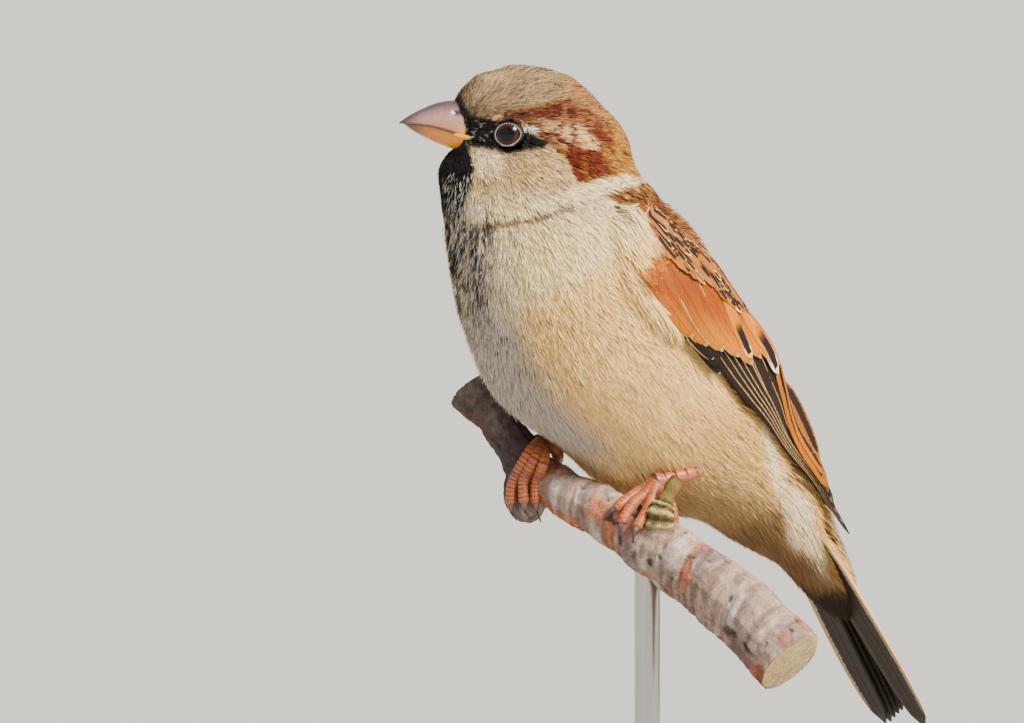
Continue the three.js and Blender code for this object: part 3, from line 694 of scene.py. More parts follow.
def vaneShape(share, tip):
    # how wide a vane is along its length, as a share of its widest
    return np.maximum(np.minimum(share / 0.35 + 0.25, 1) ** 0.55 * np.sqrt(np.maximum(1 - share**tip, 0)), 0.06)


def growVanes(name, middle, normals, widths, toneRows, fringes, look, material, patches, patchSize, hand=1):
    # middle and normals are (feathers, rows, 3); the tones are (feathers, rows, 3) or (feathers, 3)
    count, rows = middle.shape[:2]
    columns = look["columns"]
    share = np.linspace(0, 1, rows)
    across = np.linspace(-1, 1, columns)
    sides = unit(np.cross(normals, unit(np.gradient(middle, axis=1)))) * hand
    shape = vaneShape(share, look["tip"]) * (1 - look.get("taper", 0.0) * share)
    half = widths[:, None, None] / 2 * shape[None, :, None] * across[None, None]
    ragged = look.get("ragged", 0.0) * dice.standard_normal((count, rows, columns)) * (np.abs(across) > 0.9)
    drop = look["camber"] * widths[:, None, None] * across[None, None] ** 2 * shape[None, :, None]
    points = (middle[:, :, None] + sides[:, :, None] * (half + ragged)[..., None]
              - normals[:, :, None] * drop[..., None])
    faces = gridFaces(count, rows, columns)
    if "thickness" not in look and hand == 1:
        faces = faces[:, ::-1]
    piece = makePiece(name, points, faces, material)
    for layer, shades in (("tone", toneRows), ("fringe", fringes)):
        addColours(piece, layer, shades.reshape(count, -1, 1, 3) + np.zeros((count, rows, columns, 1)))
    vane = np.zeros((count, rows, columns, 2))
    vane[..., 0], vane[..., 1] = (across + 1) / 2, share[:, None]
    addMap(piece, "vane", vane)
    addMap(piece, "OFBake", patches[:, None, None, :] + (vane - 0.5) * patchSize)
    if "thickness" in look:
        thick = piece.modifiers.new("thickness", "SOLIDIFY")
        thick.thickness, thick.offset = look["thickness"] * mm, -1
    print(name, "vanes", count, "triangles", count * (rows - 1) * (columns - 1) * 2)
    return piece


# Wings: a sheet over the folded wing carries every feather, placed by shares down and up the wing.
wingLow = [(-5.5, -17, 122), (-4, -22, 114), (1, -23, 107.5), (9.5, -22, 100), (18.5, -20.5, 90.5),
           (31.5, -15.5, 81.5), (43.3, -11.6, 71.8), (52.4, -9, 62.2)]
wingHigh = [(2, -15, 126), (14.4, -12, 119), (24.6, -9, 109), (32.4, -7.5, 98.5), (40.8, -7.5, 89.5),
            (45.2, -7.5, 81), (47.6, -7.8, 72.5), (52.4, -9, 62.2)]
wingSet = {"clear": 0.65, "edge": (0.9, 0.7), "bulge": (1.3, 0.8), "covertsEnd": 0.49, "topEase": (2.1, 1.3),
           "downs": 161, "ups": 31}


def makeWingSheet(look):
    down, up = np.linspace(0, 1, look["downs"]), np.linspace(0, 1, look["ups"])
    low, high = (alongCurve(edge, down * (len(edge) - 1)) for edge in (wingLow, wingHigh))
    chord = low[:, None] + (high - low)[:, None] * up[None, :, None]
    flight = rising(down, look["covertsEnd"] - 0.05, look["covertsEnd"] + 0.05)[:, None]
    lift = (look["clear"] + blendOf(*look["edge"], flight)
            + blendOf(*look["bulge"], flight) * np.sin(np.pi * up)[None] ** 0.7)
    lift = lift - blendOf(*look["topEase"], flight) * rising(up, 0.6, 1.0)[None]
    points = raised(chord.reshape(-1, 3), lift.ravel()).reshape(chord.shape)
    # smoothed down the wing, then turned outward; at its tip the last rows share one way
    for _ in range(3):
        points[1:-1] = (points[:-2] + 2 * points[1:-1] + points[2:]) / 4
    normals = unit(np.cross(np.gradient(points, axis=0), np.gradient(points, axis=1)))
    normals *= np.where(normals[..., 1:2] > 0, -1, 1)
    normals[-4:] = normals[-5]
    return points, normals


wingPoints, wingNormals = makeWingSheet(wingSet)


def onWing(down, up):
    # the place and the outward way on the left wing's sheet
    downs, ups = wingPoints.shape[:2]
    x = np.clip(down, 0, 1) * (downs - 1)
    y = np.clip(up, 0, 1) * (ups - 1)
    i, j = np.minimum(x.astype(int), downs - 2), np.minimum(y.astype(int), ups - 2)
    s, t = (x - i)[..., None], (y - j)[..., None]

    def at(sheet):
        near = blendOf(sheet[i, j], sheet[i + 1, j], s)
        return blendOf(near, blendOf(sheet[i, j + 1], sheet[i + 1, j + 1], s), t)

    place, normal = at(wingPoints), unit(at(wingNormals))
    # ahead of its front the sheet goes straight on
    before = np.minimum(down, 0)[..., None] * (wingPoints[1, 0] - wingPoints[0, 0]) * (downs - 1)
    return place + before, normal


wingTree = BVHTree.FromPolygons(wingPoints.reshape(-1, 3).tolist(), gridFaces(1, *wingPoints.shape[:2]).tolist())


def besideWing(points):
    # how far outside the nearer wing's sheet and how far past its edge; the wings mirror each other
    left = points * (1, 0, 1) - np.abs(points) * (0, 1, 0)
    place, normal = onSurface(wingTree, left)
    normal *= np.where(normal[:, 1:2] > 0, -1, 1)
    away = left - place
    out = (away * normal).sum(-1)
    return out, np.sqrt(np.maximum((away**2).sum(-1) - out**2, 0))


def underWing(points):
    out, past = besideWing(points)
    return (out < 0.5) & (out > -9) & (past < 0.6)


lockMaterial = plumeMaterial("softBarbs")
skin = makePiece("skin", skinPoints, skinFaces, plumeMaterial("skinDown", 0.6, 0.3, roughness=0.95, sheen=0.1))
# the skin takes the marks darkened by a quarter: painted shade deep in the coat between the feathers
addColours(skin, "tone", markings(coatTop) * 0.75)
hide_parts(*skinSet["nodes"])


def eyeGap(points):
    # how far a point lies from the nearer eye's line of sight
    forward, wide, up = headPlace(points)
    return np.where(wide > 3, np.hypot((forward - 5.8) / 1.15, up - 6.25), 99)


def billGap(points):
    # how far in front of the face's edge round the bill
    forward, wide, up = headPlace(points)
    inFront = forward - np.interp(up, [-1, 3, 6, 9, 12.5, 16], [18, 14.2, 13.4, 14.6, 15.2, 20])
    return np.where((up > 2.6) & (up < 12.6) & (wide < 4.3), inFront, -9)


def coatRegion(points):
    # the places that belong to each piece of the coat
    forward, wide, up = headPlace(points)
    run, around = bodyPlace(points)[:2]
    front, head = (forward > 1.5) & (up > -0.5) & (up < 11), (run < 15) & (up > -10.5)
    trunk, clear = (run >= 34) & (run < 92), billGap(points) < 0
    return {"face": front & (run < 14) & (eyeGap(points) > 2.45) & clear,
            "head": head & ~front & clear,
            "throat": (run < 34) & ~head,
            "breast": trunk & (run < 62) & (around < 118),
            "belly": trunk & (run >= 62) & (around < 118),
            "back": trunk & (around >= 118),
            "vent": run >= 92}


def nearEye(points):
    return blendOf(0.45, 1.0, rising(eyeGap(points), 2.6, 4.4))


def bibSide(points):
    forward, wide, up = headPlace(points)
    return falling(up, 0.5, 2.5) * rising(forward, 11.2, 12.6) * rising(wide, 1.5, 3)


def bibShare(points):
    forward, wide, up = headPlace(points)
    return rising(forward, 3, 6) * rising(wide, 2.5, 5)


coatSets = {
    "face": {"spacing": 0.52, "length": 1.9, "width": 0.7, "blades": 3, "blade": 0.25, "lift": 0.05,
             "uneven": 0.16, "streaks": 0.05, "lengthAt": nearEye},
    "head": {"spacing": 0.82, "length": 3.2, "width": 1.3, "blades": 5, "blade": 0.3, "lift": 0.12,
             "uneven": 0.14, "streaks": 0.13, "streakShade": 0.42, "tip": tones["bibFringe"], "tipShare": 0.45,
             "tipAt": bibSide},
    "throat": {"spacing": 0.95, "length": 5.0, "width": 2.0, "blades": 6, "blade": 0.36, "lift": 0.45,
               "uneven": 0.12, "streaks": 0.08, "curl": 0.2, "tip": tones["bibFringe"], "tipShare": 0.4,
               "tipAt": bibShare},
    "breast": {"spacing": 1.0, "length": 7.0, "width": 2.4, "blades": 8, "blade": 0.33, "lift": 0.25,
               "uneven": 0.09, "streaks": 0.08, "streakShade": 0.62, "curl": 0.25},
    "belly": {"spacing": 0.95, "length": 8.5, "width": 2.6, "blades": 8, "blade": 0.32, "lift": 0.4,
              "uneven": 0.11, "streaks": 0.1, "streakShade": 0.6, "curl": 0.4},
    "back": {"spacing": 1.5, "length": 7.0, "width": 3.2, "blades": 6, "blade": 0.5, "lift": 0.2,
             "uneven": 0.2, "streaks": 0.2, "streakShade": 0.4, "curl": 0.2},
    "vent": {"spacing": 0.95, "length": 8.0, "width": 2.4, "blades": 7, "blade": 0.32, "lift": 0.2,
             "uneven": 0.1, "streaks": 0.08, "curl": 0.3},
}

for name, look in coatSets.items():
    roots = scatterRoots(look["spacing"], lambda points: coatRegion(points)[name])
    growLocks(f"coat_{name}", roots[~underWing(roots)], look)


def overWing(places):
    # how far the coat lifts to pass over the wing's front edge
    out, past = besideWing(places.reshape(-1, 3))
    cover = falling(past, 1.5, 6.5) * (out < 1) * (out > -9)
    return (np.maximum(0.95 - out, 0) * cover).reshape(places.shape[:2])


def inShoulder(points):
    edge = np.interp(points[:, 2] - 4.0, *breastEdge)
    return ((points[:, 0] + 2.0 < edge) & (points[:, 0] > edge - 17) & (np.abs(points[:, 1]) > 9)
            & (points[:, 2] > 105.5) & (points[:, 2] < 134))


shoulderSet = {"spacing": 0.75, "length": 6.0, "width": 2.2, "blades": 8, "blade": 0.32, "lift": 0.15,
               "uneven": 0.08, "streaks": 0.06, "streakShade": 0.7, "curl": 0.25, "rootShade": 0.92,
               "riseAt": overWing}
roots = scatterRoots(shoulderSet["spacing"], inShoulder)
out, past = besideWing(roots)
growLocks("coat_shoulder", roots[(past < 6) & (out < 1)], shoulderSet)
print("coat grown")


def tiles(count):
    # a square of the map for each vane
    wide = math.ceil(math.sqrt(count))
    k = np.arange(count)
    return (np.stack((k % wide, k // wide), axis=1) + 0.5) / wide, 0.92 / wide


def growWingVanes(name, side, rows, feathers, look):
    # a feather is (down0, up0, down1, up1, width, lift, tone at root, tone at tip, fringe, fringe at tip)
    share = np.linspace(0, 1, rows)
    d0, u0, d1, u1, width, lift, root, tip, fringe, fringeTip = (np.array(k, float) for k in zip(*feathers))
    place, normal = onWing(blendOf(d0[:, None], d1[:, None], share), blendOf(u0[:, None], u1[:, None], share))
    middle = place + normal * (lift[:, None] + look["rise"] * share)[..., None]
    mirror = np.array((1, side, 1))

    def faded(start, end, fade):
        return blendOf(start[:, None], end[:, None], rising(share, *fade)[None, :, None])

    patches, size = tiles(len(feathers))
    return growVanes(f"{name}_{sideNames[side]}", middle * mirror, normal * mirror, width,
                     faded(root, tip, look.get("toneFade", (0.3, 0.95))),
                     faded(fringe, fringeTip, look.get("tipFade", (0.4, 0.9))),
                     look, look["material"], patches, size, side)


fineVane = vaneMaterial("covertVane", barbs=22, fringeStart=0.88, shaft=0.22, upperSide=0.0)
softVane = vaneMaterial("softVane", barbs=16, fringeStart=0.8, shaft=0.15, upperSide=1.0)
streakVane = vaneMaterial("streakVane", barbs=16, fringeStart=0.5, shaft=0.1, upperSide=1.0)
blackVane = vaneMaterial("blackVane", barbs=22, fringeStart=0.55, shaft=0.1, upperSide=0.8)
flightVane = vaneMaterial("flightVane", barbs=80, fringeStart=0.93, shaft=0.4, upperSide=0.0, roughness=0.5)
tertialVane = vaneMaterial("tertialVane", barbs=60, fringeStart=0.36, shaft=0.4, upperSide=0.5, roughness=0.55)
tailVane = vaneMaterial("tailVane", barbs=90, fringeStart=0.74, shaft=0.5, upperSide=0.0, roughness=0.55)

flightSet = {"rise": 0.05, "columns": 7, "tip": 5, "camber": 0.02, "thickness": 0.12, "taper": 0.25,
             "material": flightVane, "slot": "flight_feathers"}
tertialSet = {"rise": 0.2, "columns": 9, "tip": 5, "camber": 0.04, "thickness": 0.12, "material": tertialVane,
              "slot": "flight_feathers"}
greaterSet = {"rise": 0.2, "columns": 7, "tip": 6, "camber": 0.05, "thickness": 0.1, "material": fineVane,
              "slot": "covert_feathers"}
blackSet = {"rise": 0.2, "columns": 9, "tip": 5, "tipFade": (0.8, 0.88), "toneFade": (0.5, 0.62), "camber": 0.05,
            "thickness": 0.1, "material": blackVane, "slot": "covert_feathers"}
lesserSet = {"rise": 0.1, "columns": 5, "tip": 4, "camber": 0.05, "ragged": 0.05, "material": softVane,
             "slot": "covert_feathers"}
alulaSet = {"rise": 0.15, "columns": 7, "tip": 4, "camber": 0.06, "thickness": 0.1, "material": fineVane,
            "slot": "covert_feathers"}
scapularSet = {"rise": 0.15, "columns": 5, "tip": 4, "camber": 0.12, "ragged": 0.14, "material": streakVane,
               "slot": "covert_feathers"}

# shares down and up the wing of each greater covert's root and tip
greaterCoverts = [(0.05, 0.03, 0.27, 0.0), (0.08, 0.08, 0.335, 0.01), (0.1, 0.12, 0.375, 0.05),
                  (0.12, 0.2, 0.41, 0.1), (0.14, 0.29, 0.435, 0.18), (0.17, 0.38, 0.462, 0.26),
                  (0.2, 0.47, 0.488, 0.34), (0.23, 0.56, 0.475, 0.45), (0.26, 0.66, 0.48, 0.55),
                  (0.28, 0.76, 0.49, 0.66)]
blackCoverts = [(0.24, 0.58, 0.472, 0.37, 3.6), (0.27, 0.74, 0.515, 0.56, 5.4), (0.3, 0.9, 0.5, 0.77, 3.6)]
scapularEdge = ([0.0, 0.1, 0.155, 0.235, 0.355, 0.375, 0.46], [0.6, 0.42, 0.36, 0.46, 0.58, 0.86, 1.03])


def hiddenByBreast(down, up):
    # whether the breast's feathers cover that part of the wing
    x, y, z = onWing(np.array([down]), np.array([up]))[0][0]
    return x < np.interp(z, *breastEdge) - 0.3


def growWing(side):
    dark, cream, orange, black = (tones[k] for k in ("flightDark", "flightFringe", "tertialOrange", "alula"))
    feathers = [(0.42, 0.13 + 0.06 * k, 1.0 - 0.03 * k, 0.3 + 0.02 * k, 4.6, -0.4 + 0.08 * k, dark, dark,
                 cream if k else dark, cream * 0.3 if k else dark) for k in range(6)]
    made = growWingVanes("primaries", side, 24, feathers, flightSet)
    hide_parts(f"wing_flight_{sideNames[side]}")
    feathers = [(0.42, 0.46 + 0.11 * k, 0.87 - 0.01 * k, 0.38 + 0.06 * k, 5.4, 0.02 + 0.05 * k, dark, dark,
                 *[blendOf(cream, orange, 0.25 + 0.2 * k)] * 2) for k in range(3)]
    growWingVanes("secondaries", side, 20, feathers, flightSet)
    feathers = [(0.40, 0.72, 0.87, 0.37, 5.8, 0.2, dark, dark, orange, orange),
                (0.38, 0.82, 0.84, 0.5, 5.6, 0.22, dark, dark, orange * 1.15, orange * 1.15),
                (0.36, 0.96, 0.8, 0.82, 5.0, 0.2, dark, dark, orange * 0.85, orange * 0.85)]
    growWingVanes("tertials", side, 18, feathers, tertialSet)
    feathers = [(0.36, 0.05, 0.5, 0.03, 3.2, 0.2, dark, dark, cream * 0.6, cream * 0.6),
                (0.36, 0.085, 0.482, 0.06, 4.0, 0.3, black, black, black, black),
                (0.34, 0.065, 0.455, 0.06, 3.2, 0.38, black, black, cream, cream)]
    growWingVanes("alula", side, 12, feathers, alulaSet)

    covertRed, covertOrange, pale = (tones[k] for k in ("covertRed", "covertOrange", "covertPale"))
    feathers = [(*place, 4.4, 0.15 + 0.05 * min(k, 6), covertRed * dice.uniform(0.9, 1.15),
                 blendOf(covertRed, covertOrange, min(1, 0.35 + 0.15 * k)) * dice.uniform(0.92, 1.1), pale, pale)
                for k, place in enumerate(greaterCoverts)]
    made = growWingVanes("greater_coverts", side, 16, feathers, greaterSet)
    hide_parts(f"wing_coverts_{sideNames[side]}")
    tips = (pale, tones["covertTip"], tones["covertTip"])
    feathers = [(*place, 0.6 - 0.08 * k, covertOrange, black, covertOrange, tips[k])
                for k, place in enumerate(blackCoverts)]
    growWingVanes("tipped_coverts", side, 18, feathers, blackSet)

    feathers = []
    for row in range(7):
        for k in range(9):
            down = -0.02 + 0.03 * row + 0.01 * (k % 2)
            up = 0.02 + 0.075 * k + 0.04 * (row % 2)
            shade = dice.uniform(0.85, 1.08)
            if hiddenByBreast(down + 0.1, up - 0.03):
                continue
            red, rufous = covertRed * shade, covertOrange * shade
            feathers.append((down, up, down + 0.1, up - 0.03, dice.uniform(3.4, 4.4), 0.4 - 0.02 * row, red,
                             blendOf(red, rufous, 0.5), rufous, rufous))
    growWingVanes("lesser_coverts", side, 9, feathers, lesserSet)

    feathers = []
    for row in range(30):
        for k in range(12):
            tip = 0.04 + 0.0168 * row + dice.uniform(-0.007, 0.007)
            up = 0.38 + 0.056 * k + 0.028 * (row % 2) + dice.uniform(-0.012, 0.012)
            if up < np.interp(tip, *scapularEdge) or up > 1.02 or tip > 0.46 or hiddenByBreast(tip, up):
                continue
            draw = dice.random()
            rufous = tones["mantle"] * dice.uniform(0.7, 1.25)
            rufous = blendOf(rufous, tones["mantleBuff"], 0.5 * rising(up, 0.75, 1.0))
            centre = tones["mantleDark"] if draw < 0.62 else rufous
            fringe = tones["mantleBuff"] * dice.uniform(0.75, 1.05) if 0.34 < draw < 0.75 else rufous
            lift = (0.9 + 0.3 * (0.5 - tip)) * (1 - 0.9 * rising(up, 0.6, 1.0))
            root = max(tip - dice.uniform(0.08, 0.11), -0.01)
            feathers.append((root, up, max(tip, root + 0.05), up - 0.015, dice.uniform(1.7, 2.8), lift, centre,
                             centre, fringe, fringe))
    growWingVanes("scapulars", side, 10, feathers, scapularSet)


for side in (leftSide, rightSide):
    growWing(side)
print("wings feathered")


# Mantle: streaked vanes over the back between the wings.
mantleSet = {"spacing": 1.9, "length": 8.5, "width": 3.2, "tip": 4, "camber": 0.1, "ragged": 0.14,
             "columns": 5, "rows": 7, "patch": 0.003}


def inMantle(points):
    run, around = bodyPlace(points)[:2]
    return (run > 22) & (run < 66) & (around > 112) & ~underWing(points)


def growMantle(look):
    roots = scatterRoots(look["spacing"], inMantle)
    count = len(roots)
    length = look["length"] * dice.uniform(0.85, 1.15, count)
    places, normals = combTufts(roots, length, look["rows"])
    share = np.linspace(0, 1, look["rows"])
    middle = places + normals * (coatDepth(roots)[:, None] * (0.35 + 0.55 * share))[..., None]
    draw = dice.random((count, 1))
    rufous = tones["mantle"] * dice.uniform(0.7, 1.25, (count, 1))
    centre = np.where(draw < 0.5, tones["mantleDark"], rufous)
    edge = np.where((draw > 0.3) & (draw < 0.62), tones["mantleBuff"], rufous)
    growVanes("mantle", middle, normals, look["width"] * dice.uniform(0.7, 1.1, count), centre, edge, look,
              streakVane, skinMap(roots), look["patch"])


growMantle(mantleSet)


# Tail: twelve narrow feathers, the middle pair on top and the outermost lowest.
tailSet = {"root": (43.5, 0, 66.5), "way": (0.539, 0, -0.842), "up": (0.842, 0, 0.539), "length": 51.5,
           "width": 9.6, "first": 1.5, "step": 1.2, "drop": 0.44, "notch": 3.2, "outerShort": 0.9, "columns": 7,
           "tip": 8, "camber": 0.02, "thickness": 0.14, "rows": 20}


def growTail(look):
    root, way, up = (np.array(look[k], float) for k in ("root", "way", "up"))
    share = np.linspace(0, 1, look["rows"])
    middles, shades, hands = [], [], []
    for k in range(6):
        for side in (leftSide, rightSide):
            end = side * -(look["first"] + look["step"] * k)
            length = look["length"] - look["notch"] * (1 - k / 5) ** 0.8 - (look["outerShort"] if k == 5 else 0)
            across = blendOf(0.62 * end, end, rising(share, 0, 0.9))
            roof = 2.2 - 0.012 * across**2 - look["drop"] * k
            line = root + share[:, None] * length * way + roof[:, None] * up
            line[:, 1] += across
            middles.append(line)
            shades.append(tones["tailTone"] * dice.uniform(0.85, 1.15))
            hands.append(side)
    middles, shades = np.array(middles), np.array(shades)
    patches, size = tiles(12)
    ends = rising(share, 0.86, 0.94)[None, :, None]
    fringes = tones["tailFringe"] + (shades[:, None] - tones["tailFringe"]) * ends
    piece = growVanes("tail_feathers", middles, np.broadcast_to(up, middles.shape), np.full(12, look["width"]),
                      shades, fringes, look, tailVane, patches, size,
                      np.array(hands)[:, None, None])
    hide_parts("tail")


growTail(tailSet)
print("tail laid")


# Eyes: a dark iris under a clear cornea, in a ring of small lid scales.
eyeSet = {"at": (5.15, 6.9, 6.1), "radius": 3.3, "aperture": (2.27, 1.95), "pupil": 1.5, "gaze": (0.27, 0.06),
          "rows": 48, "columns": 64, "lidColumns": 120}
# the lid from its inner skin over a raised rim to its foot under the feathers: shares of the aperture,
# millimetres along the gaze, and how pale it is
lidProfile = np.array([(0.94, 2.3, 0), (1.0, 2.5, 0.1), (1.03, 2.58, 0.6), (1.07, 2.62, 0.85), (1.11, 2.58, 0.4),
                       (1.18, 2.44, 0), (1.36, 1.7, 0)])
eyeMaterial = grainMaterial("eyeGloss", 0.25, 0.35, Roughness=0.3, Coat_Weight=1.0, Coat_Roughness=0.03,
                            Coat_IOR=1.33, Specular_IOR_Level=0.05)
lidMaterial = plumeMaterial("lidScales", 0.3, 0.25, roughness=0.6, sheen=0.0)


def makeEye(side, look):
    forward, left, up = look["at"]
    centre = onHead(forward, side * left, up)
    ahead, rise = look["gaze"]
    gaze = unit(side * headLeft + ahead * headForward + rise * headUp)
    acrossWay = unit(headForward - (headForward @ gaze) * gaze)
    upWay = unit(headUp - (headUp @ gaze) * gaze)

    def placed(across, over, out):
        return centre + across[..., None] * acrossWay + over[..., None] * upWay + out[..., None] * gaze

    rows, columns = look["rows"], look["columns"]
    polar = np.linspace(0.02, math.pi - 0.02, rows)[:, None]
    turn = np.linspace(0, 2 * math.pi, columns, endpoint=False)[None]
    radius = look["radius"] + 0.12 * np.exp(-(polar / 0.6) ** 2)
    flat = radius * np.sin(polar)
    points = placed(flat * np.cos(turn), flat * np.sin(turn), radius * np.cos(polar) + 0 * turn)
    ball = makePiece(f"eyeball_{sideNames[side]}", points, cappedFaces(rows, columns, side == rightSide),
                     eyeMaterial)
    reach = np.broadcast_to(flat, (rows, columns)).ravel()
    iris = rising(reach, look["pupil"] - 0.15, look["pupil"] + 0.15) * falling(reach, 2.2, 2.6)
    addColours(ball, "tone", layered(tone(5, 4, 5), (tone(54, 24, 14), iris)))
    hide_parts(f"eye_{sideNames[side]}")

    share, out, pale = (lidProfile[:, k:k + 1] for k in range(3))
    around = np.linspace(0, 2 * math.pi, look["lidColumns"], endpoint=False)
    wide, tall = look["aperture"]
    corner = 1 + 0.08 * np.maximum(0, np.cos(around - math.pi)) ** 6
    scale = np.where(np.abs(share - 1.1) < 0.05, 1 + 0.035 * np.sin(30 * around)[None], 1)
    points = placed(share * wide * corner * np.cos(around) * scale, share * tall * np.sin(around) * scale,
                    out + 0 * around)
    faces = gridFaces(1, *points.shape[:2], closed=True)
    lid = makePiece(f"lid_{sideNames[side]}", points, faces[:, ::-1] if side == rightSide else faces,
                    lidMaterial)
    low = -np.sin(around)
    pale = pale * (0.65 + 0.35 * np.sin(30 * around)[None])
    pale = np.clip(pale * (0.75 + 0.6 * rising(low, 0.1, 0.9)[None]), 0, 1)
    pale[5] = rising(low, 0.82, 0.95)
    addColours(lid, "tone", layered(tone(34, 28, 28), (tone(206, 198, 184), pale.ravel())))


for side in (leftSide, rightSide):
    makeEye(side, eyeSet)
print("eyes set")


# Bill: two horn mandibles with a nostril each side and a soft yellow gape.
billSet = {"halfWidth": 4.4, "steps": 56, "arch": 40, "nostril": (15.0, 10.2), "nostrilDepth": 0.55}
culmen = curveThrough([(9, 12.2), (14, 12.6), (18, 12.2), (21, 11.1), (23.8, 9.7), (25.9, 8.3)], 120)
tomium = curveThrough([(9, 6), (12.8, 5.3), (16.2, 6.5), (19.2, 7.4), (22, 7.9), (25.9, 8.15)], 120)
gonys = curveThrough([(9, 3.4), (13.9, 2.9), (17.3, 3.7), (20, 4.9), (23, 6.5), (24.9, 7.9)], 120)


def atShare(line, share):
    k = np.clip(share, 0, 1) * (len(line) - 1)
    return np.stack([np.interp(k, np.arange(len(line)), line[:, j]) for j in range(line.shape[1])], axis=-1)


hornMaterial = grainMaterial("billHorn", 0.8, 0.12, (0.00006, 0.5), Roughness=0.32, Coat_Weight=0.35,
                             Coat_Roughness=0.2, Subsurface_Weight=0.08, Subsurface_Scale=0.001)


def billTones(forward, up, upper):
    low = np.interp(forward, *tomium.T)
    if not upper:
        return layered(
            tone(236, 150, 2),
            (tone(206, 128, 44), rising(forward, 15.5, 20)),
            (tone(122, 84, 60), rising(forward, 20, 23.5)),
            (tone(72, 54, 50), rising(forward, 22.5, 24.8) * 0.8),
            # dark along the lower mandible's top edge: painted shade in the gap between the mandibles
            (tone(48, 32, 26), rising(up - low, -0.35, 0.1) * rising(forward, 12.5, 14) * 0.9))
    rise = (up - low) / np.maximum(np.interp(forward, *culmen.T) - low, 0.1)
    return layered(
        tone(138, 104, 104),
        (tone(176, 130, 112), falling(np.abs(rise - 0.35), 0.1, 0.35) * 0.7),
        (tone(78, 60, 66), rising(rise, 0.66, 0.98)),
        (tone(200, 128, 66), falling(rise, 0.05, 0.25) * falling(forward, 16, 22)),
        (tone(234, 150, 4), falling(forward, 12.6, 16.4) * falling(up, 6.4, 8.4)),
        (tone(62, 48, 50), rising(forward, 21, 25.5) * 0.85),
        # dark along the upper mandible's lower edge: painted shade in the gap between the mandibles
        (tone(40, 28, 26), falling(rise, 0.03, 0.09) * rising(forward, 13, 15) * 0.9))


def makeMandible(name, ridge, edgeGap, fullness, reach, upper, look):
    share = np.linspace(0, 1, look["steps"])
    edge, top = atShare(tomium, share * reach), atShare(ridge, share)
    width = (look["halfWidth"] * np.sqrt(np.maximum(0, 1 - (share * reach) ** 1.7)) + 0.12) * fullness
    angle = np.linspace(0, math.pi, look["arch"])
    rise = np.sin(angle)[None] ** 0.85
    forward = blendOf(edge[:, :1], top[:, :1], rise)
    up = blendOf(edge[:, 1:] + edgeGap, top[:, 1:], rise)
    left = width[:, None] * np.cos(angle)[None] * (1 + 0.04 * (1 - rise))
    colour = billTones(forward.ravel(), up.ravel(), upper)
    if upper:
        nf, nu = look["nostril"]
        pit = np.exp(-(((forward - nf) / 0.75) ** 2 + ((up - nu) / 0.42) ** 2))
        left = left - np.sign(left) * look["nostrilDepth"] * pit
        # the nostril's pit painted near-black: painted shade in its opening
        colour = layered(colour, (tone(30, 24, 26), np.clip(pit.ravel() * 1.3, 0, 1)))
    points = headAt + forward[..., None] * headForward + left[..., None] * headLeft + up[..., None] * headUp
    piece = makePiece(name, points, cappedFaces(*forward.shape, not upper), hornMaterial)
    addColours(piece, "tone", colour)
    return piece


upperBill = makeMandible("mandible_upper", culmen, 0.0, 1.0, 1.0, True, billSet)
lowerBill = makeMandible("mandible_lower", gonys, 0.35, 0.9, 0.95, False, billSet)
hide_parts("bill_upper")
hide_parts("bill_lower")


def tubeGrid(line, radiusAt, sides, top):
    # a tube round a line; radiusAt(share, angle) is measured from the side that faces `top`
    way = unit(np.gradient(line, axis=0))
    side = unit(np.cross(way, top))
    crown = np.cross(side, way)
    share = np.linspace(0, 1, len(line))[:, None]
    angle = np.linspace(0, 2 * math.pi, sides, endpoint=False)[None]
    radius = radiusAt(share, angle)
    points = (line[:, None] + side[:, None] * (radius * np.sin(angle))[..., None]
              + crown[:, None] * (radius * np.cos(angle))[..., None])
    shares, angles = (share + 0 * angle).ravel(), (angle + 0 * share).ravel()
    return points.reshape(-1, 3), cappedFaces(len(line), sides), shares, angles


def joinTubes(name, tubes, material):
    # a tube is its points, faces and colours
    points, faces, colours = zip(*tubes)
    starts = np.cumsum([0, *map(len, points)]).tolist()
    joined = [[start + k for k in face] for start, some in zip(starts, faces) for face in some]
    piece = makePiece(name, np.vstack(points), joined, material)
    addColours(piece, "tone", np.vstack(colours))
    return piece


def makeGape():
    tubes = []
    for side in (leftSide, rightSide):
        ends = [(15.8, 3.9, 6.1), (14.0, 4.5, 5.6), (12.6, 5.2, 5.5), (11.8, 5.7, 5.7)]
        line = curveThrough([onHead(f, side * l, u) for f, l, u in ends], 20)
        points, faces, share, angle = tubeGrid(line, lambda s, a: 0.2 + 0.3 * np.sin(np.pi * s**0.8) + 0 * a,
                                               14, headUp)
        tubes.append((points, faces, np.tile(tone(226, 168, 50), (len(points), 1))))
    joinTubes("gape", tubes, hornMaterial)


makeGape()
print("bill shaped")


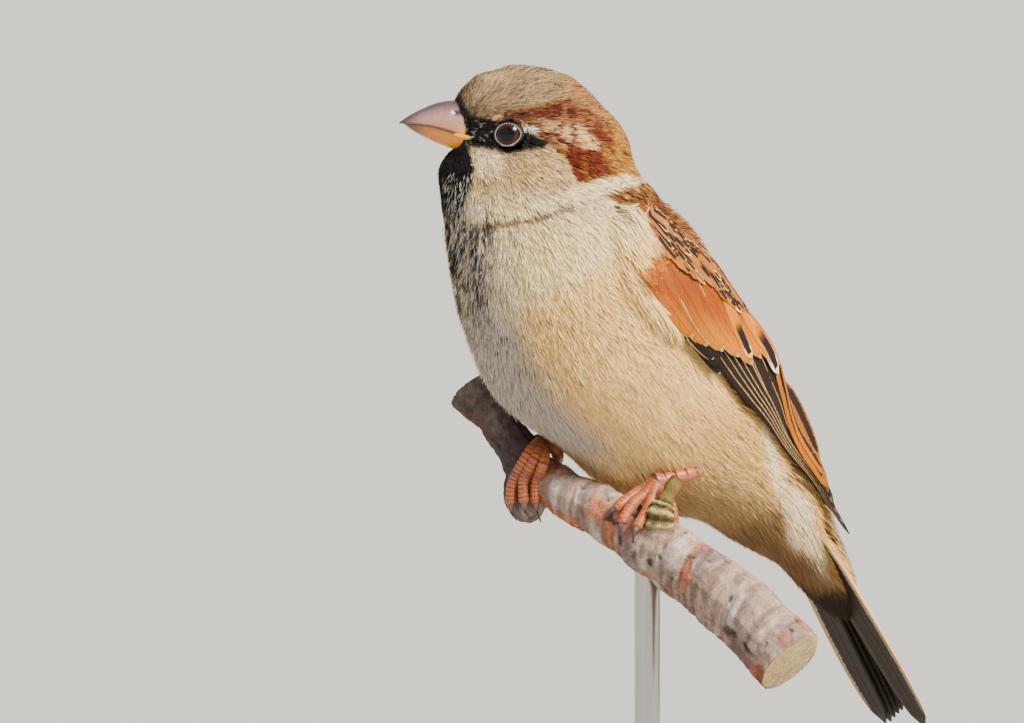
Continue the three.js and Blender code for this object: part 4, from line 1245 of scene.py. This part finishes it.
# Legs and feet: scaled tubes from the belly to the claws.
footSet = {"tarsus": 15.5, "bow": 0.8, "dive": 3.2, "tarsusRadius": 1.12, "toeRadius": 1.15, "scute": 0.8,
           "tarsusScute": 2.1, "sides": 22}
feet = {
    leftSide: {"joint": (5.2, -14.5, 74.3), "heel": (0.985, -0.02, 0.17), "toes": {
        "middle": [(2.6, -14.9, 72.0), (-0.7, -15.5, 70.1), (-3.4, -16.4, 67.5), (-4.4, -16.5, 65.4),
                   (-4.3, -15.7, 62.8)],
        "inner": [(2.4, -13.2, 72.4), (-0.6, -13.6, 71.0), (-2.9, -14.1, 69.8), (-4.6, -13.5, 68.5),
                  (-5.7, -12.0, 66.3)],
        "outer": [(3.1, -16.2, 71.4), (0.9, -18.2, 69.0), (-1.6, -19.2, 66.5), (-3.0, -19.6, 64.6),
                  (-2.9, -18.8, 62.2)],
        "hind": [(6.6, -14.0, 71.7), (8.2, -14.6, 68.9), (9.4, -13.8, 65.0), (10.2, -12.7, 62.6),
                 (8.4, -12.5, 60.3)]}},
    rightSide: {"joint": (-7, 10, 81), "heel": (0.985, 0.02, 0.17), "toes": {
        "middle": [(-12.0, 3.3, 78.5), (-13.9, 4.5, 74.5), (-14.2, 4.4, 71.0), (-13.9, 4.2, 68.4),
                   (-11.6, 5.9, 65.8)],
        "inner": [(-11.0, 1.8, 77.6), (-11.6, 3.7, 74.0), (-11.9, 3.7, 71.0), (-11.7, 3.4, 68.3),
                  (-9.4, 5.6, 65.2)],
        "outer": [(-12.7, 4.6, 79.2), (-15.2, 6.2, 74.0), (-15.8, 6.5, 70.6), (-15.6, 6.5, 68.0),
                  (-13.4, 8.0, 65.6)],
        "hind": [(-4.7, 7.7, 79.1), (-3.9, 9.9, 76.1), (-4.6, 11.1, 73.5), (-5.7, 11.7, 71.3),
                 (-8.0, 10.6, 70.3)]}},
}
branchLine = curveThrough([(-16.4, 20.9, 91.2), (-12.8, 14, 82.9), (-10.1, 8.9, 76), (-6.3, 1.7, 71.3),
                           (-2, -6.5, 67.4), (2.8, -15.75, 62), (8.2, -26.1, 55.7), (13, -35.3, 48.9),
                           (17.8, -44.6, 40)], 400)


scuteLook = {"Coat_Weight": 0.15, "Coat_Roughness": 0.3, "Subsurface_Weight": 0.1, "Subsurface_Scale": 0.0008}
scuteMaterial, clawMaterial = (grainMaterial(name, 0.35, 0.15, (0.00005, 0.5), Roughness=roughness, **scuteLook)
                               for name, roughness in (("legScutes", 0.42), ("clawHorn", 0.28)))


def awayFromBranch(point):
    return unit(point - branchLine[nearestOn(branchLine, point[None])[0]])


def scaledTube(line, radius, scute, joints, sides):
    # plates across the upper side, pads along the lower
    length = np.linalg.norm(np.diff(line, axis=0), axis=1).sum()

    def radiusAt(share, angle):
        plate = (share * length / scute) % 1
        upper = rising(np.cos(angle), -0.2, 0.5)
        ridge = 0.2 * (1 - plate) ** 0.7 * upper
        pad = 0.2 * (0.5 + 0.5 * np.cos(share * joints * 2 * math.pi)) * (1 - upper)
        return radius(share) * (0.9 + ridge + pad)

    points, faces, share, angle = tubeGrid(line, radiusAt, sides, awayFromBranch(line.mean(axis=0)))
    plate = (share * length / scute) % 1
    upper = rising(np.cos(angle), -0.2, 0.5)
    return points, faces, layered(
        tone(190, 108, 62),
        (tone(160, 72, 38), rising(plate, 0.3, 1) * 0.7 * upper),
        # near-black grooves between the plates: painted shade in the creases
        (tone(84, 38, 34), (falling(plate, 0.0, 0.18) + rising(plate, 0.86, 1)) * upper * 0.9),
        (tone(112, 66, 72), rising(np.cos(share * joints * 2 * math.pi), 0.75, 1) * 0.55))


def makeFoot(side, look):
    foot = feet[side]
    joint, heel = np.array(foot["joint"], float), unit(np.array(foot["heel"], float))
    outward = np.array((0, -side, 0))
    bent = joint + heel * look["tarsus"] * 0.45 + outward * look["bow"]
    hidden = joint + heel * look["tarsus"] - outward * look["dive"]
    tubes = [scaledTube(curveThrough([joint - heel * 0.6, bent, hidden], 120), lambda s: look["tarsusRadius"] * (
        blendOf(1.35, 1.0, rising(s, 0, 0.16)) + 0.22 * rising(s, 0.15, 0.5)), look["tarsusScute"], 1, look["sides"])]
    claws = []
    for name, line in foot["toes"].items():
        first, second, third, fourth, fifth = np.array(line)
        tip = blendOf(third, fourth, 0.7)
        path = curveThrough([joint, first, second, third, tip], 110)
        tubes.append(scaledTube(path, lambda s: look["toeRadius"] * blendOf(1.1, 0.86, s)
                                * np.sqrt(np.maximum(1 - (np.maximum(s - 0.93, 0) / 0.075) ** 2, 0.1)),
                                look["scute"], 3, look["sides"]))
        clawLine = curveThrough([blendOf(third, tip, 0.75), fourth + 0.15 * (tip - third),
                                 blendOf(fourth, fifth, 0.9)], 40)
        points, faces, share, angle = tubeGrid(
            clawLine, lambda s, a: blendOf(0.66, 0.1, s**0.85) * (1 + 0.12 * np.cos(a)), 16,
            awayFromBranch(clawLine[0]))
        claws.append((points, faces, layered(
            tone(84, 62, 60), (tone(150, 118, 108), falling(share, 0, 0.35) * 0.6),
            (tone(40, 32, 34), rising(share, 0.6, 1)))))
    word = sideNames[side]
    piece = joinTubes(f"foot_{word}", tubes, scuteMaterial)
    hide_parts(f"leg_{word}", *[f"toe_{name}_{word}" for name in foot["toes"]])
    hooks = joinTubes(f"claws_{word}", claws, clawMaterial)
    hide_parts(*[f"claw_{name}_{word}" for name in foot["toes"]])


for side in (leftSide, rightSide):
    makeFoot(side, footSet)
print("feet set")


# Branch: the perch remeshed finely, then ringed, cracked and flaked.
barkSet = {"voxel": 0.36, "smoothing": 3, "ring": 0.16, "lump": 0.3, "flake": 0.14, "length": 91}
spurLine = curveThrough([(3.4, -18, 62), (2.2, -20.3, 66.6), (3.3, -20.1, 70), (6.4, -19.7, 75)], 80)
spurShape = ([0, 0.35, 0.55, 0.64, 0.76, 0.88, 1.0], [3.6, 2.75, 2.35, 1.6, 1.4, 1.75, 1.2])


def makeBarkMaterial():
    material, tree, shader = newMaterial("bark", Roughness=0.82, Specular_IOR_Level=0.3)
    coarse, coarseHeight = grained(tree, meshTone(tree), 1.4, 0.3)
    fine, fineHeight = grained(tree, coarse, 0.3, 0.3)
    feed(tree, shader, {"Base Color": fine})
    bumpInto(tree, shader, mathNode(tree, "ADD", coarseHeight, fineHeight), 0.0002, 0.9)
    return material


def makeBranch(look):
    points, normals, faces = melted(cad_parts["perch_branch"].data.copy(), look)
    near = nearestOn(branchLine, points)
    run = near / (len(branchLine) - 1) * look["length"]
    way = unit(np.gradient(branchLine, axis=0))[near]
    away = points - branchLine[near]
    # the branch straightened: millimetres across, across and along
    straight = np.stack((away[:, 0], away[:, 1], run + 0.3 * away[:, 2]), axis=1)

    def noise(across, along, seed):
        return valueNoise(straight * (across, across, along), seed)

    ring, fineRing, lump = noise(0.16, 1.05, 1), noise(0.35, 2.4, 2), noise(0.22, 0.22, 3)
    patch = noise(0.3, 0.36, 4) + 0.5 * noise(0.8, 0.9, 5)
    crack = noise(0.9, 0.5, 6)
    end = rising(np.abs((normals * way).sum(1)), 0.75, 0.95) * ((run < 1.2) | (run > look["length"] - 1.2))
    rise = (look["ring"] * np.abs(ring) ** 0.5 * np.sign(ring) + 0.07 * fineRing + look["lump"] * lump
            + look["flake"] * rising(patch, 0.1, 0.25) - 0.25 * rising(crack, 0.55, 0.75))
    points = points + normals * (rise * (1 - end) - 0.15)[:, None]
    # the spur beside the toes swells in rings up to its bud
    nearSpur = nearestOn(spurLine, points)
    climb, aside = nearSpur / (len(spurLine) - 1), points - spurLine[nearSpur]
    reach = np.linalg.norm(aside, axis=1)
    onSpur = rising(climb, 0.26, 0.38) * falling(reach, 3.3, 4.2)
    ridge = (0.5 + 0.5 * np.sin(58 * climb + 0.5 * lump)) * falling(climb, 0.64, 0.7)
    target = np.interp(climb, *spurShape) + 0.35 * ridge + 0.3 * fineRing
    grow = np.maximum(1, target / np.maximum(reach, 0.4))
    points = spurLine[nearSpur] + aside * blendOf(1, grow, onSpur * (climb < 0.985))[:, None]
    piece = makePiece("branch_bark", points, faces, makeBarkMaterial())
    rings = 0.5 + 0.5 * np.sin(np.linalg.norm(away - (away * way).sum(1, keepdims=True) * way, axis=1) * 7.5)
    addColours(piece, "tone", layered(
        tone(168, 142, 124),
        (tone(208, 196, 186), rising(patch, 0.1, 0.5) * 0.7),
        (tone(186, 98, 58), rising(noise(0.28, 0.2, 7), 0.25, 0.6) * 0.75),
        (tone(112, 92, 96), rising(noise(0.1, 0.12, 8), 0.1, 0.5) * 0.7),
        (tone(92, 70, 60), rising(-ring, 0.15, 0.5) * 0.55),
        (tone(46, 36, 32), rising(crack, 0.5, 0.75) * 0.8),
        # darker towards the upper end: partly the bark's own dark colour, partly painted shade cast by the bird
        (tone(58, 50, 50), falling(run, 18, 34) * 0.85),
        # the spur, and the wood's rings at the cut ends
        (tone(112, 92, 46), onSpur),
        (tone(206, 188, 120), onSpur * rising(ridge, 0.7, 0.95) * 0.8),
        (tone(34, 25, 15), onSpur * falling(ridge, 0.06, 0.3) * (climb < 0.68) * 0.85),
        (tone(70, 46, 22), onSpur * rising(climb, 0.93, 0.99) * 0.8),
        (tone(206, 176, 130) * (0.8 + 0.25 * rings)[:, None], end)))
    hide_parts("perch_branch")


makeBranch(barkSet)
print("bark grown")


# Display stand: a turned wooden base and a steel rod.
standSet = {"radius": 48.0, "height": 10.0, "rodShare": 0.56, "foot": 0.3, "under": 5.6}


def woodTone(tree):
    place = addNode(tree, "ShaderNodeTexCoord").outputs["Object"]
    bent = addNode(tree, "ShaderNodeTexNoise", {"Vector": place, "Scale": 9.0, "Detail": 2.0}).outputs["Color"]
    warped = addNode(tree, "ShaderNodeVectorMath", {0: bent, 1: (0.03, 0.03, 0.03), 2: place},
                     operation="MULTIPLY_ADD")
    wave = addNode(tree, "ShaderNodeTexWave", {"Vector": warped.outputs[0], "Scale": 60.0, "Distortion": 1.5,
                                              "Detail": 3.0}, wave_type="BANDS", bands_direction="Y")
    return mixNode(tree, wave.outputs["Fac"], paint(58, 34, 22), paint(104, 64, 40))


woodMaterial = grainMaterial("baseWood", 0.6, 0.2, (0.00008, 0.5), woodTone, (0.06, 1, 1), Roughness=0.38,
                             Coat_Weight=0.3, Coat_Roughness=0.25)
steelMaterial = grainMaterial("rodSteel", 0.4, 0.08, (0.00003, 0.5), lambda tree: paint(196, 194, 190),
                              (1, 1, 0.04), Metallic=1.0, Roughness=0.3)


def turned(name, profile, centre, sides, material):
    angle = np.linspace(0, 2 * math.pi, sides, endpoint=False)[None]
    radius, height = np.array(profile, float).T
    points = np.stack((centre[0] + radius[:, None] * np.cos(angle), centre[1] + radius[:, None] * np.sin(angle),
                       height[:, None] + 0 * angle), axis=-1)
    piece = makePiece(name, points, cappedFaces(len(profile), sides), material)
    edges = piece.modifiers.new("crisp", "EDGE_SPLIT")
    edges.split_angle = math.radians(40)
    return piece


def makeStand(look):
    radius, height = look["radius"], look["height"]
    arc = [(radius - 3 + 3 * math.cos(t), height - 3 + 3 * math.sin(t)) for t in np.linspace(0, math.pi / 2, 9)]
    base = turned("stand_base_turned", [(0.5, 0), (radius - 0.6, 0), (radius, 0.6), *arc, (0.5, height)],
                  -birdAt, 128, woodMaterial)
    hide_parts("stand_base")
    top = branchLine[int(look["rodShare"] * (len(branchLine) - 1))]
    foot, under = height + look["foot"], top[2] - look["under"]
    rod = turned("stand_rod_steel", [(0.3, foot), (6, foot), (6, foot + 1.2), (5.7, foot + 1.5), (5.1, foot + 2.1),
                                     (2.9, foot + 2.4), (2.5, foot + 2.8), (2.5, under), (0.3, under)],
                 top, 48, steelMaterial)
    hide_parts("stand_rod")


makeStand(standSet)
print("stand made")


# Studio: a pale floor, one soft key from the upper right and a weak fill.
studioSet = {"floor": 60.0, "sky": 0.52, "skyTint": (0.93, 0.95, 1.0, 1), "suns": [
    ("key", 8.8, (0.45, -1.0, 0.95), 20, (1.0, 0.93, 0.83)), ("fill", 0.35, (-1.2, -0.5, 0.5), 60, (0.9, 0.95, 1.0))]}


def makeStudio(look):
    half = look["floor"]
    mesh = bpy.data.meshes.new("floor")
    mesh.from_pydata([(-half, -half, 0), (half, -half, 0), (half, half, 0), (-half, half, 0)], [], [(0, 1, 2, 3)])
    mesh.materials.append(grainMaterial("floorPaper", 3.0, 0.02, (), lambda tree: paint(196, 194, 188),
                                        Roughness=0.9))
    addObject("floor", mesh)
    for name, strength, source, angle, colour in look["suns"]:
        data = bpy.data.lights.new(name, "SUN")
        data.energy, data.angle, data.color = strength, math.radians(angle), colour
        addFacing(name, data, Vector(source), -Vector(source))
    world = bpy.data.worlds.new("studio")
    world.use_nodes = True
    feed(world.node_tree, world.node_tree.nodes["Background"], {"Color": look["skyTint"], "Strength": look["sky"]})
    bpy.context.scene.world = world


makeStudio(studioSet)
